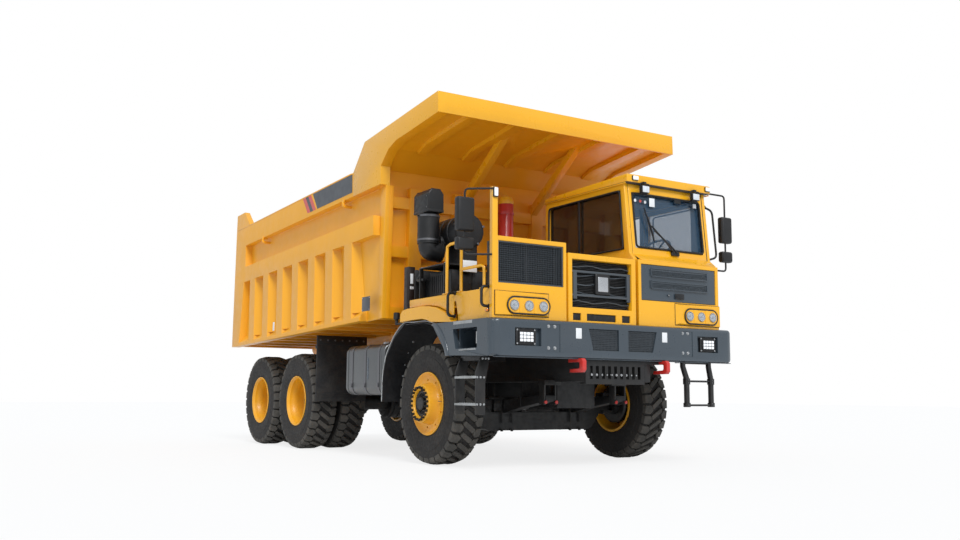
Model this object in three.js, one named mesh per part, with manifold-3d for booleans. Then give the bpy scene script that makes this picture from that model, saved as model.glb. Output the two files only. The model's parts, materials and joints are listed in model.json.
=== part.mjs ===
// A three-axle off-highway mining dump truck: chassis, offset cab, front telescopic hoist and dump body.
// Millimetres. +X is the truck's left (the cab side), -Y is the front, +Z is up, and the ground is z = 0.
// Pieces are laid out from the front axle line; the whole truck is then centred along Y.
import * as THREE from "three";
import { mergeVertices } from "three/addons/utils/BufferGeometryUtils.js";
import Module from "manifold-3d";

const wasm = await Module();
wasm.setup();

// Driving dimensions.
const seat = 0.3; // gap kept between two pieces that bear on each other

const wheelbase = 4070; // front axle to middle axle
const tandem = 1630; // middle axle to rear axle
const tyreRadius = 746.5;
const tyreHalf = 205; // half of a tyre's section width
const rimSeat = 371.5; // radius on which the tyre bead sits
const flangeRadius = 388;
const flangeHalf = 194.5; // half of the width over a rim's flanges
const hubBore = 95; // front hub, on the steering knuckle's spindle
const drivenSpindle = 119; // radius of the driven axles' spindles
const wheelSides = 20;
const frontTrack = 1471; // truck centre to a front wheel's centre plane
const rearTrack = 1319.5; // truck centre to the middle of a twin wheel
const twinSpacing = 485; // between the two tyres of a twin wheel
const hubEnd = 240; // middle of a twin wheel to the end of its hub
const kingpinX = 1150;
const kingpinRadius = 40;

const railInner = 400;
const railWidth = 90;
const railBottom = 1020;
const railTop = 1400;
const railPastHinge = 90;

const bumperFront = -1773;
const bumperHalf = 1850;
const bumperBottom = 1280;
const bumperTop = 1700;
const bumperWall = 60;
const hookReach = 67; // how far the recovery hooks stand ahead of the bumper

const fasciaFront = -1700;
const fasciaWall = 60;
const deckTop = 2040;
const deckThick = 40;
const deckRear = 230;

const cabInner = 310;
const cabOuter = 1700;
const cabRear = 200;
const cabWall = 60;
const cabFloorTop = 2060;
const ledgeTop = 2512; // where the cab's lower front ends
const glassFoot = -1543; // y of the windscreen's lower edge
const glassFootZ = 2608;
const glassHeadZ = 3511;
const glassLean = 90; // how far back the windscreen's head lies
const roofThick = 110;
const doorFront = -1330;
const doorRear = -330;
const paneThick = 8;

const bedHalf = 1925;
const bedFront = 945; // y of the bed's front end at floor level
const bedBottom = 1688;
const bedRake = 0.029; // radians; the front end lies higher
const bedLength = 5848; // along the floor, outside
const headLean = 117; // how far the headboard's head lies ahead of its foot
const sideWall = 25;
const sideRecess = 120; // how far the ribs and rails stand out of the side sheet
const topRailFrom = 1783;
const topRailTo = 2125;
const midRailFrom = 1126;
const midRailTo = 1397;
const ribCount = 7;
const ribWidth = 313;
const lastRib = 1016; // rear end to the middle of the rearmost rib
const firstRib = 890; // front end to the middle of the foremost rib
const cheekBack = 738; // front end back to the rear edge of the canopy's cheeks
const canopyAhead = 1666; // front end to the canopy's front lip
const floorTop = 110;

const bedHingeAhead = 490; // bed's rear end to its hinge
const bedHingeZ = 1350;
const hingePinRadius = 45;
const hoistAhead = 205; // bed's front end to the hoist
const hoistFootZ = 1150;
const hoistTrunnionZ = 1780;
const hoistTop = 3560;
const earGap = 82; // truck centre to the inner faces of the hoist foot's ears
const coverRadius = 110;

// Places that follow from the driving dimensions.
const axleZ = tyreRadius;
const midAxleY = wheelbase;
const rearAxleY = wheelbase + tandem;
const trunnionY = wheelbase + tandem / 2;
const railOuter = railInner + railWidth;
const railFront = bumperFront + bumperWall + 30 + seat;
const bedRear = bedFront + bedLength * Math.cos(bedRake);
const ribPitch = (bedLength - lastRib - firstRib) / (ribCount - 1);
const cheekFrom = bedLength - cheekBack;
const canopyReach = bedLength + canopyAhead;
const bedHingeY = bedRear - bedHingeAhead;
const railRear = bedHingeY + railPastHinge;
const hoistY = bedFront - hoistAhead;
const deckSide = bumperHalf - 50;
const fasciaBack = fasciaFront + fasciaWall;
const aroundSides = 1 / Math.cos(Math.PI / wheelSides);

// ---------------------------------------------------------------- shaping helpers

// A closed three.js geometry as a solid that can be joined and cut.
function solidFrom(geometry) {
  const bare = new THREE.BufferGeometry();
  bare.setAttribute("position", geometry.getAttribute("position"));
  if (geometry.index) bare.setIndex(geometry.index);
  const merged = mergeVertices(bare, 1e-3);
  const index = merged.index.array;
  const triVerts = [];
  for (let i = 0; i < index.length; i += 3) {
    const [a, b, c] = index.slice(i, i + 3);
    if (a !== b && b !== c && c !== a) triVerts.push(a, b, c);
  }
  const mesh = new wasm.Mesh({
    numProp: 3,
    vertProperties: merged.attributes.position.array,
    triVerts: new Uint32Array(triVerts),
  });
  return new wasm.Manifold(mesh);
}

function join(...solids) {
  return solids.flat().reduce((all, next) => all.add(next));
}

function cut(solid, ...tools) {
  return tools.flat().reduce((left, tool) => left.subtract(tool), solid);
}

function box(x0, x1, y0, y1, z0, z1) {
  const geometry = new THREE.BoxGeometry(Math.abs(x1 - x0), Math.abs(y1 - y0), Math.abs(z1 - z0));
  return solidFrom(geometry.translate((x0 + x1) / 2, (y0 + y1) / 2, (z0 + z1) / 2));
}

function shapeOf(outline, holes) {
  const shape = new THREE.Shape(outline.map(([a, b]) => new THREE.Vector2(a, b)));
  for (const hole of holes) {
    shape.holes.push(new THREE.Path(hole.map(([a, b]) => new THREE.Vector2(a, b))));
  }
  return shape;
}

// An outline in (y, z) carried along x.
function alongX(outline, x0, x1, holes = []) {
  const depth = Math.abs(x1 - x0);
  const geometry = new THREE.ExtrudeGeometry(shapeOf(outline, holes), { depth, bevelEnabled: false });
  const turn = new THREE.Matrix4().makeBasis(
    new THREE.Vector3(0, 1, 0),
    new THREE.Vector3(0, 0, 1),
    new THREE.Vector3(1, 0, 0),
  );
  return solidFrom(geometry.applyMatrix4(turn).translate(Math.min(x0, x1), 0, 0));
}

// An outline in (x, z) carried along y.
function alongY(outline, y0, y1, holes = []) {
  const depth = Math.abs(y1 - y0);
  const geometry = new THREE.ExtrudeGeometry(shapeOf(outline, holes), { depth, bevelEnabled: false });
  const turn = new THREE.Matrix4().makeBasis(
    new THREE.Vector3(1, 0, 0),
    new THREE.Vector3(0, 0, 1),
    new THREE.Vector3(0, -1, 0),
  );
  return solidFrom(geometry.applyMatrix4(turn).translate(0, Math.max(y0, y1), 0));
}

// An outline in (x, y) carried along z.
function alongZ(outline, z0, z1, holes = []) {
  const depth = Math.abs(z1 - z0);
  const geometry = new THREE.ExtrudeGeometry(shapeOf(outline, holes), { depth, bevelEnabled: false });
  return solidFrom(geometry.translate(0, 0, Math.min(z0, z1)));
}

// A round bar along x, y or z; the two centres are the other two coordinates in x, y, z order.
function bar(axis, radius, from, to, c1, c2, sides = 16) {
  const geometry = new THREE.CylinderGeometry(radius, radius, Math.abs(to - from), sides);
  const middle = (from + to) / 2;
  if (axis === "x") geometry.rotateZ(-Math.PI / 2).translate(middle, c1, c2);
  if (axis === "y") geometry.translate(c1, middle, c2);
  if (axis === "z") geometry.rotateX(Math.PI / 2).translate(c1, c2, middle);
  return solidFrom(geometry);
}

// A section in (x, radius) turned about the x axis; flats lie at the top and bottom.
function turned(section, sides = wheelSides) {
  const points = section.map(([x, radius]) => new THREE.Vector2(radius * aroundSides, x));
  const turn = (list) => {
    const geometry = new THREE.LatheGeometry(list, sides);
    return solidFrom(geometry.rotateY(Math.PI / sides).rotateZ(-Math.PI / 2));
  };
  const solid = turn(points);
  return solid.volume() < 0 ? turn([...points].reverse()) : solid;
}

// A rod of the given radius through a list of points, with rounded bends.
function rod(points, radius, sides = 6, steps = 6) {
  const path = new THREE.CurvePath();
  const corners = points.map((p) => new THREE.Vector3(...p));
  let start = corners[0];
  for (let i = 1; i < corners.length - 1; i += 1) {
    const back = corners[i - 1].clone().sub(corners[i]);
    const ahead = corners[i + 1].clone().sub(corners[i]);
    const bend = Math.min(radius * 3, back.length() * 0.45, ahead.length() * 0.45);
    const from = corners[i].clone().add(back.setLength(bend));
    const to = corners[i].clone().add(ahead.setLength(bend));
    path.add(new THREE.LineCurve3(start, from));
    path.add(new THREE.QuadraticBezierCurve3(from, corners[i], to));
    start = to;
  }
  path.add(new THREE.LineCurve3(start, corners.at(-1)));
  const ring = Array.from({ length: sides }, (_, i) => {
    const angle = (i / sides) * 2 * Math.PI;
    return [radius * Math.cos(angle), radius * Math.sin(angle)];
  });
  const options = { steps: steps * (points.length - 1), extrudePath: path, bevelEnabled: false };
  return solidFrom(new THREE.ExtrudeGeometry(shapeOf(ring, []), options));
}

function arc(cy, cz, radius, fromDegrees, toDegrees, steps) {
  return Array.from({ length: steps + 1 }, (_, i) => {
    const angle = THREE.MathUtils.degToRad(fromDegrees + ((toDegrees - fromDegrees) * i) / steps);
    return [cy + radius * Math.cos(angle), cz + radius * Math.sin(angle)];
  });
}

function rectangle(a0, a1, b0, b1) {
  return [
    [a0, b0],
    [a1, b0],
    [a1, b1],
    [a0, b1],
  ];
}

// ---------------------------------------------------------------- materials and nodes

const finishes = {
  yellow: { color: 0xf2a900, roughness: 0.35, metalness: 0.0 },
  darkGrey: { color: 0x3a4147, roughness: 0.5, metalness: 0.2 },
  black: { color: 0x17181a, roughness: 0.6, metalness: 0.1 },
  tyre: { color: 0x2b2a28, roughness: 0.9, metalness: 0.0 },
  red: { color: 0xc8201c, roughness: 0.35, metalness: 0.0 },
  chrome: { color: 0xc9ccd0, roughness: 0.15, metalness: 1.0 },
  aluminium: { color: 0xb4b7ba, roughness: 0.35, metalness: 0.9 },
  castIron: { color: 0x3d4043, roughness: 0.7, metalness: 0.5 },
  glass: { color: 0x1c262b, roughness: 0.05, metalness: 0.0, transparent: true, opacity: 0.5 },
  lamp: { color: 0xdfe4e6, roughness: 0.15, metalness: 0.3 },
  fabric: { color: 0x2a2c30, roughness: 0.85, metalness: 0.0 },
};

function node(name, solid, finish) {
  const { vertProperties, triVerts } = solid.getMesh();
  const geometry = new THREE.BufferGeometry();
  geometry.setAttribute("position", new THREE.BufferAttribute(vertProperties, 3));
  geometry.setIndex(new THREE.BufferAttribute(triVerts, 1));
  geometry.computeVertexNormals();
  const mesh = new THREE.Mesh(geometry, new THREE.MeshStandardMaterial(finishes[finish]));
  mesh.name = name;
  return mesh;
}

function group(...children) {
  const holder = new THREE.Group();
  holder.add(...children);
  return holder;
}

// The two sides of the truck: +1 is left, -1 is right.
const sides = { left: 1, right: -1 };

// ---------------------------------------------------------------- chassis

const crossmembers = [-1500, 1300, 2300, 3100, trunnionY, railRear - 310];

function chassisFrame() {
  const pieces = [];
  for (const s of [1, -1]) {
    pieces.push(box(s * railInner, s * railOuter, railFront, railRear, railBottom, railTop));
    pieces.push(bar("x", hingePinRadius, s * (railInner - 110), s * railInner, bedHingeY, bedHingeZ));
    pieces.push(...springHangers(s), ...outriggers(s), ...hoistCradleEars(s));
  }
  for (const y of crossmembers) {
    pieces.push(box(-railInner, railInner, y - 60, y + 60, railBottom + 40, railTop - 80));
  }
  pieces.push(box(-railInner, railInner, hoistY - 110, hoistY + 110, railBottom, hoistFootZ - 85));
  return join(pieces);
}

function hoistCradleEars(s) {
  return [box(s * earGap, s * (earGap + 30), hoistY - 50, hoistY + 50, railBottom + 20, hoistFootZ + 50)];
}

// Brackets under the rails that the front leaf springs hang from.
const frontSpringHalf = 70;
const frontSpringX = 550;
const hangerY = 1000;
const springEyeZ = 815;

function springHangers(s) {
  const inner = frontSpringX - frontSpringHalf - seat;
  const outer = frontSpringX + frontSpringHalf + seat;
  return [-hangerY, hangerY].flatMap((y) => [
    box(s * railInner, s * (outer + 20), y - 70, y + 70, railBottom - 40, railBottom + 20),
    box(s * (inner - 20), s * inner, y - 55, y + 55, springEyeZ - 70, railBottom - 30),
    box(s * outer, s * (outer + 20), y - 55, y + 55, springEyeZ - 70, railBottom - 30),
  ]);
}

// Arms and posts outside the rails that carry the deck, the cab, the tanks and the mud flaps.
const postOuter = 1080;
const armFrontY = -1380;
const armRearY = 60;
const tankFront = 985;
const tankRear = 2170;
const flapArmY = 3245;
const armZ = 1290;
const flapTop = 1590;

function outriggers(s) {
  const floorBottom = s > 0 ? cabFloorTop - 60 - seat : deckTop - deckThick - seat;
  const arms = [];
  for (const y of [armFrontY, armRearY]) {
    arms.push(box(s * railOuter, s * postOuter, y - 50, y + 50, armZ, armZ + 90));
    arms.push(box(s * (postOuter - 100), s * postOuter, y - 50, y + 50, armZ, floorBottom));
  }
  for (const y of [tankFront + 250, tankRear - 250]) {
    arms.push(box(s * railOuter, s * (tankInner - seat), y - 60, y + 60, armZ - 90, armZ + 50));
  }
  arms.push(box(s * railOuter, s * 700, flapArmY - 30, flapArmY + 30, flapTop - 320, flapTop - 240));
  arms.push(box(s * 620, s * 700, flapArmY - 30, flapArmY + 30, flapTop - 320, flapTop));
  arms.push(box(s * 620, s * 1780, flapArmY - 30, flapArmY + 30, flapTop - 50, flapTop));
  return arms;
}

const trunnionZ = 930; // the bogie springs' trunnion shaft, under both rails

const tankInner = 1130;
const tankOuter = 1770;

// A tank with rounded long edges and its lower edge cut back.
function tankBody(s, front, rear, bottom, top) {
  const round = 110;
  const inner = s > 0 ? tankInner : -tankOuter;
  const outer = s > 0 ? tankOuter : -tankInner;
  const outline = [
    ...arc(outer - round, top - round, round, 0, 90, 4),
    ...arc(inner + round, top - round, round, 90, 180, 4),
    ...arc(inner + round, bottom + round, round, 180, 270, 4),
    ...arc(outer - round, bottom + round, round, 270, 360, 4),
  ];
  return alongY(outline, front, rear);
}

function fuelTank() {
  const tank = tankBody(-1, tankFront, tankRear, 850, 1530);
  const filler = bar("z", 65, 1500, 1560, -1560, tankFront + 300, 12);
  return join(tank, filler);
}

function hydraulicTank() {
  const tank = tankBody(1, tankFront, tankRear - 250, 880, 1530);
  const filler = bar("z", 60, 1500, 1570, 1450, tankFront + 250, 12);
  return join(tank, filler);
}

function mudFlaps() {
  const flap = (s) => box(s * 960, s * 1790, flapArmY - 65, flapArmY - 30 - seat, 745, flapTop + 150);
  const tie = box(-970, 970, flapArmY - 65, flapArmY - 30 - seat, railBottom - 80, railBottom - 40);
  return join(flap(1), flap(-1), tie);
}

// ---------------------------------------------------------------- front end

const stepPocket = { front: -1445, rear: -985, bottom: 1380, top: 1610, depth: 300 };

function frontBumper() {
  const corner = 68;
  const shell = [
    [-bumperHalf, bumperFront + corner],
    [-bumperHalf + corner, bumperFront],
    [bumperHalf - corner, bumperFront],
    [bumperHalf, bumperFront + corner],
    [bumperHalf, bumperFront + corner + 30],
    [bumperHalf - bumperWall - 30, bumperFront + bumperWall + 30],
    [-bumperHalf + bumperWall + 30, bumperFront + bumperWall + 30],
    [-bumperHalf, bumperFront + corner + 30],
  ];
  let bumper = alongZ(shell, bumperBottom, bumperTop);
  const wing = [
    [bumperFront + corner, bumperBottom],
    [-790, bumperBottom + 32],
    [-443, bumperTop - 19],
    [-443, bumperTop],
    [bumperFront + corner, bumperTop],
  ];
  for (const s of [1, -1]) {
    bumper = bumper.add(alongX(wing, s * (bumperHalf - bumperWall), s * bumperHalf));
    bumper = bumper.add(stepTray(s));
    bumper = cut(bumper, stepPocketCut(s), fogRecess(s), bumperVent(s), boltRecess(s));
  }
  return bumper;
}

function stepTray(s) {
  const { front, rear, bottom, top, depth } = stepPocket;
  const inner = bumperHalf - depth - 30;
  return box(s * inner, s * (bumperHalf - 20), front - 30, rear + 30, bottom - 40, top + 30);
}

function stepPocketCut(s) {
  const { front, rear, bottom, top, depth } = stepPocket;
  const opening = [
    [front, bottom],
    [rear, bottom],
    [rear + 60, top - 40],
    [rear + 60, top],
    [front, top],
  ];
  const mouth = alongX(opening, s * (bumperHalf - bumperWall - 5), s * (bumperHalf + 20));
  const tray = box(s * (bumperHalf - depth), s * (bumperHalf - bumperWall), front, rear, bottom, top);
  return join(mouth, tray);
}

function fogRecess(s) {
  return box(s * 1204, s * 1560, bumperFront - 20, bumperFront + 50, 1400, 1600);
}

function boltRecess(s) {
  return box(s * 940, s * 1120, bumperFront - 20, bumperFront + 6, 1340, 1655);
}

function bumperVent(s) {
  const outline = [
    [s * 75, 1376],
    [s * 461, 1376],
    [s * 525, 1624],
    [s * 75, 1624],
  ];
  return alongY(outline, bumperFront - 20, bumperFront + 55);
}

const hookX = 645;

// The slotted guard below the bumper, carried with both recovery hooks on one cross plate.
function frontGuard() {
  const hookFront = bumperFront - hookReach;
  const hookOutline = [
    [railFront + 110, 1235],
    [railFront + 110, bumperBottom - seat],
    [hookFront + 25, bumperBottom - seat],
    [hookFront, bumperBottom - 30],
    [hookFront, 1150],
    [hookFront + 30, 1120],
    [-1600, 1120],
    [-1600, 1160],
    [hookFront + 75, 1165],
    [hookFront + 60, 1180],
    [hookFront + 60, 1225],
    [hookFront + 75, 1235],
  ];
  const pieces = [1, -1].map((s) => alongX(hookOutline, s * (hookX - 28), s * (hookX + 28)));
  const front = railFront - 22;
  const back = railFront - 2;
  pieces.push(box(-hookX - 28, hookX + 28, front, back, 1235, bumperBottom - seat));
  pieces.push(box(-520, 380, front, back, 1005, 1250));
  pieces.push(box(-520, 380, front, railFront + 90, 990, 1010));
  const slots = [];
  for (let x = -440; x <= 300; x += 92) slots.push(box(x - 22, x + 22, railFront - 30, railFront, 1050, 1200));
  return cut(join(pieces), slots);
}

const rightFasciaIn = -790;
const rightFasciaOut = -bumperHalf + 35;
const screenX0 = rightFasciaOut + 79;
const screenX1 = -830;
const screenZ0 = 2093;
const screenZ1 = 2564;

function rightFascia() {
  const panel = box(rightFasciaOut, rightFasciaIn, fasciaFront, fasciaBack, bumperTop + seat, 2617);
  const post = box(rightFasciaOut, rightFasciaOut + 71, fasciaFront, fasciaBack, 2600, 3167);
  const opening = box(screenX0, screenX1, fasciaFront - 10, fasciaBack + 10, screenZ0, screenZ1);
  return cut(join(panel, post), opening);
}

function screenMesh() {
  const y = fasciaFront + fasciaWall / 2;
  const pad = seat;
  return box(screenX0 + pad, screenX1 - pad, y - 6, y + 6, screenZ0 + pad, screenZ1 - pad);
}

const radiatorLeft = 266;
const radiatorRight = -763;
const radiatorTop = 2505;
const radiatorDepth = 380;

function radiatorSurround() {
  const back = fasciaFront + radiatorDepth;
  const shell = box(radiatorRight, radiatorLeft, fasciaFront, back, bumperTop + seat, radiatorTop);
  const opening = box(-705, 200, fasciaFront - 10, back + 10, 1874, 2440);
  const slots = [
    box(-698, -577, fasciaFront - 10, fasciaFront + 60, 1722, 1806),
    box(-492, -49, fasciaFront - 10, fasciaFront + 60, 1722, 1806),
    box(43, 172, fasciaFront - 10, fasciaFront + 60, 1722, 1806),
  ];
  return cut(shell, opening, slots);
}

function radiatorGrille() {
  const core = box(-705 + seat, 200 - seat, fasciaFront + 140, fasciaFront + 240, 1874 + seat, 2440 - seat);
  const bars = [];
  for (const z of [2010, 2130, 2240]) {
    bars.push(box(-705 + seat, 200 - seat, fasciaFront + 60, fasciaFront + 145, z - 18, z + 18));
  }
  const plate = box(-340, -125, fasciaFront + 15, fasciaFront + 90, 2040, 2290);
  return join(core, bars, plate);
}

// An oval lamp housing that stands a little ahead of the fascia, with three lamp faces.
function headlamp(x0, x1, z0, z1) {
  const round = (z1 - z0) / 2;
  const middle = (z0 + z1) / 2;
  const outline = [
    ...arc(x1 - round, middle, round, -90, 90, 6),
    ...arc(x0 + round, middle, round, 90, 270, 6),
  ];
  const housing = alongY(outline, fasciaFront - 35, fasciaFront - seat);
  const lamps = [-196, 0, 196].map((dx) =>
    bar("y", 62, fasciaFront - 50, fasciaFront - 20, (x0 + x1) / 2 + dx, middle, 12),
  );
  return join(housing, lamps);
}

// ---------------------------------------------------------------- cab

const hatch = { x0: 355, x1: cabOuter - 80, z0: 2015, z1: 2462, thick: 30 };

function cabBase() {
  const panel = box(cabInner, cabOuter - 31, fasciaFront, fasciaBack, bumperTop + seat, ledgeTop);
  const floor = box(cabInner, cabOuter - cabWall - seat, fasciaBack - 5, cabRear - cabWall - seat, cabFloorTop - 60, cabFloorTop);
  const opening = box(hatch.x0, hatch.x1, fasciaFront - 10, fasciaBack + 10, hatch.z0, hatch.z1);
  const stop = cut(
    box(hatch.x0 - 30, hatch.x1 + 30, fasciaBack - 12, fasciaBack, hatch.z0 - 20, hatch.z1 + 30),
    box(hatch.x0 + 40, hatch.x1 - 40, fasciaBack - 30, fasciaBack + 10, hatch.z0 + 60, hatch.z1 - 40),
  );
  return join(cut(join(panel, floor), opening), stop);
}

function serviceHatch() {
  const gap = 5;
  const { x0, x1, z0, z1, thick } = hatch;
  const panel = box(x0 + gap, x1 - gap, fasciaFront + 8, fasciaFront + 8 + thick, z0 + gap, z1 - gap);
  const louvre = (zc) => box(508, 1462, fasciaFront, fasciaFront + 20, zc - 50, zc + 50);
  const latch = box(944, 1044, fasciaFront - 4, fasciaFront + 12, 2075, 2125);
  const pins = [hatch.x0 + 60, hatch.x1 - 60].map((x) =>
    box(x - 30, x + 30, fasciaFront + 20, fasciaBack - 12 - seat, z1 - gap - 30, z1 - gap),
  );
  const slot = (zc) => box(540, 1430, fasciaFront - 10, fasciaFront + 12, zc - 14, zc + 14);
  return cut(join(panel, louvre(2366), louvre(2214), latch, pins), slot(2366), slot(2214));
}

function windscreenPlane(z) {
  return glassFoot + (glassLean * (z - glassFootZ)) / (glassHeadZ - glassFootZ);
}

const screen = { x0: 372, x1: cabOuter - 60, z0: 2690, z1: 3400 };

function windscreenFrame() {
  const profile = [
    [fasciaFront, ledgeTop + seat],
    [fasciaFront + 40, ledgeTop + 30],
    [windscreenPlane(glassFootZ), glassFootZ],
    [windscreenPlane(glassHeadZ), glassHeadZ],
    [windscreenPlane(glassHeadZ) + cabWall, glassHeadZ],
    [windscreenPlane(glassFootZ) + cabWall, glassFootZ],
    [fasciaBack + 20, ledgeTop + seat],
  ];
  const frame = alongX(profile, cabInner + cabWall + seat, cabOuter - cabWall - seat);
  const opening = box(screen.x0 + 50, screen.x1 - 50, fasciaFront, 0, screen.z0, screen.z1);
  return cut(frame, opening);
}

// A pane that lies in the windscreen's sloping plane.
function windscreen() {
  const profile = [screen.z0, screen.z1].map((z) => [windscreenPlane(z) + cabWall / 2, z]);
  const outline = [
    [profile[0][0], profile[0][1] + seat],
    [profile[1][0], profile[1][1] - seat],
    [profile[1][0] + paneThick, profile[1][1] - seat],
    [profile[0][0] + paneThick, profile[0][1] + seat],
  ];
  return alongX(outline, screen.x0 + 50 + seat, screen.x1 - 50 - seat);
}

const sideWindow = { front: -1380, rear: 165, z0: 2666, z1: 3427, divider: -548 };

function sideWindowOutline(inset) {
  const { front, rear, z0, z1 } = sideWindow;
  return [
    [front - 60 + inset, z0 + inset],
    [rear - 40 - inset, z0 + inset],
    [rear - 40 - inset, z1 - inset],
    [front + inset, z1 - inset],
  ];
}

function cabSideOutline() {
  return [
    [fasciaBack + 20.3, ledgeTop - 200],
    [fasciaBack + 20.3, ledgeTop + 20],
    [windscreenPlane(glassFootZ), glassFootZ],
    [windscreenPlane(glassHeadZ), glassHeadZ],
    [cabRear, glassHeadZ],
    [cabRear, cabFloorTop + seat],
    [fasciaBack + 200, cabFloorTop + seat],
  ];
}

function cabInnerSide() {
  return alongX(cabSideOutline(), cabInner, cabInner + cabWall, [sideWindowOutline(0)]);
}

function cabSideGlass() {
  const x = cabInner + cabWall / 2;
  return alongX(sideWindowOutline(seat), x - paneThick / 2, x + paneThick / 2);
}

const doorway = { bottom: cabFloorTop + 20, top: 3440 };

function cabOuterSide() {
  const { bottom, top } = doorway;
  const outline = [
    [fasciaBack + seat, bumperTop + 60],
    [fasciaBack + seat, ledgeTop + 20],
    [windscreenPlane(glassFootZ), glassFootZ],
    [windscreenPlane(glassHeadZ), glassHeadZ],
    [cabRear, glassHeadZ],
    [cabRear, 1960],
    [-100, 1960],
    [-900, 1960],
    [-1000, bumperTop + 60],
  ];
  const wall = alongX(outline, cabOuter - cabWall, cabOuter);
  const opening = box(cabOuter - cabWall - 5, cabOuter + 5, doorFront, doorRear, bottom, top);
  const rearWindow = box(cabOuter - cabWall - 5, cabOuter + 5, doorRear + 90, cabRear - 60, 2700, 3400);
  return cut(wall, opening, rearWindow);
}

const doorGap = 5;
const doorPin = 14;
const doorHinge = { x: cabOuter + doorPin + seat, y: doorFront - 10 };
const doorWindow = { front: doorFront + 80, rear: doorRear - 80, z0: 2690, z1: 3370 };

function cabDoor() {
  const { bottom, top } = doorway;
  const outline = rectangle(doorFront + doorGap, doorRear - doorGap, bottom + doorGap, top - doorGap);
  const { front, rear, z0, z1 } = doorWindow;
  const x0 = cabOuter - cabWall + 10;
  const leaf = alongX(outline, x0, cabOuter - 5, [rectangle(front, rear, z0, z1)]);
  const hinges = [2300, 3200].flatMap((z) => [
    bar("z", doorPin, z - 60, z + 60, doorHinge.x, doorHinge.y, 24),
    box(cabOuter + 2, doorHinge.x, doorHinge.y, doorHinge.y + 80, z - 50, z + 50),
    box(cabOuter - 8, cabOuter + 3, doorFront + 20, doorHinge.y + 80, z - 50, z + 50),
  ]);
  const handle = box(cabOuter - 8, cabOuter + 40, doorRear - 190, doorRear - 60, 2540, 2575);
  return join(leaf, hinges, handle);
}

function doorGlass() {
  const { front, rear, z0, z1 } = doorWindow;
  const x = cabOuter - cabWall / 2;
  const outline = rectangle(front + seat, rear - seat, z0 + seat, z1 - seat);
  return alongX(outline, x - paneThick / 2, x + paneThick / 2);
}

const rearWindow = { x0: 520, x1: cabOuter - 210, z0: 2750, z1: 3380 };

function cabRearWall() {
  const { x0, x1, z0, z1 } = rearWindow;
  const outline = rectangle(cabInner + cabWall + seat, cabOuter - cabWall - seat, cabFloorTop + seat, glassHeadZ);
  return alongY(outline, cabRear - cabWall, cabRear, [rectangle(x0, x1, z0, z1)]);
}

function rearGlass() {
  const { x0, x1, z0, z1 } = rearWindow;
  const y = cabRear - cabWall / 2;
  const outline = rectangle(x0 + seat, x1 - seat, z0 + seat, z1 - seat);
  return alongY(outline, y - paneThick / 2, y + paneThick / 2);
}

function cabRoof() {
  const visor = 70;
  const head = windscreenPlane(glassHeadZ);
  const outline = [
    [head - visor, glassHeadZ + seat],
    [head - visor, glassHeadZ + roofThick],
    [cabRear + 30, glassHeadZ + roofThick - 45],
    [cabRear + 30, glassHeadZ + seat],
  ];
  return alongX(outline, cabInner - 4, cabOuter + 50);
}

const driverX = cabOuter - 470;

function driverSeat() {
  const cx = driverX;
  const cy = -420;
  const floor = cabFloorTop + seat;
  const cushion = box(cx - 250, cx + 250, cy - 250, cy + 260, 2440, 2570);
  const back = alongX(
    [
      [cy + 180, 2540],
      [cy + 300, 2540],
      [cy + 390, 3130],
      [cy + 290, 3150],
    ],
    cx - 240,
    cx + 240,
  );
  return join(box(cx - 180, cx + 180, cy - 180, cy + 180, floor, 2460), cushion, back);
}

function steeringWheel() {
  const cx = driverX;
  const floor = cabFloorTop + seat;
  const binnacle = alongX(
    [
      [fasciaBack + 10, floor],
      [-1230, floor],
      [-1180, 2600],
      [-1400, 2660],
      [-1480, 2560],
      [-1480, 2300],
    ],
    cabInner + cabWall + 40,
    cabOuter - cabWall - 60,
  );
  const wheel = new THREE.TorusGeometry(225, 17, 6, 20);
  const spoke = new THREE.BoxGeometry(440, 50, 16);
  const column = new THREE.CylinderGeometry(32, 32, 420, 10).rotateX(Math.PI / 2).translate(0, 0, -210);
  const place = (geometry) => solidFrom(geometry.rotateX(-0.5).translate(cx, -1010, 2790));
  return join(binnacle, place(wheel), place(spoke), place(column));
}

// ---------------------------------------------------------------- deck, wings and what stands on them

function rightDeck() {
  const top = box(-deckSide, -830, fasciaBack + seat, deckRear, deckTop - deckThick, deckTop);
  const skirt = [
    [fasciaBack + seat, bumperTop + seat],
    [-960, bumperTop + seat],
    [-900, deckTop - 100],
    [deckRear - 200, deckTop - 100],
    [deckRear, deckTop - 60],
    [deckRear, deckTop],
    [fasciaBack + seat, deckTop],
  ];
  return join(top, alongX(skirt, -deckSide, -deckSide + 40));
}

// A wheel-arch wing of sheet, with its liner running down behind the tyre.
function fender(s) {
  const sheet = 22;
  const crown = [
    [-880, bumperTop + seat],
    [-833, 1752],
    [-692, 1832],
    [-501, 1895],
    [-319, 1922],
    [-128, 1935],
    [210, 1928],
    [344, 1915],
    [391, 1875],
    [405, 1824],
  ];
  const lip = [
    [405, 1766],
    [125, 1775],
    [-158, 1776],
    [-284, 1756],
    [-400, 1722],
    [-800, bumperTop + seat],
  ];
  const innerX = postOuter + seat;
  const below = crown.map(([y, z]) => [y - Math.sign(y) * sheet, z - sheet]);
  const hollow = alongX([...below.slice(2), [383, 1600], [-650, 1600]], s * (innerX - 10), s * (bumperHalf - sheet));
  const wing = cut(alongX([...crown, ...lip], s * innerX, s * bumperHalf), hollow);
  const liner = [
    [300, 1790],
    [390, 1780],
    [660, 1600],
    [880, 1350],
    [965, 1100],
    [975, 760],
    [955, 760],
    [945, 1100],
    [862, 1340],
    [645, 1580],
    [370, 1740],
    [300, 1770],
  ];
  return join(wing, alongX(liner, s * 1190, s * (bumperHalf - sheet - 30)));
}

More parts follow.
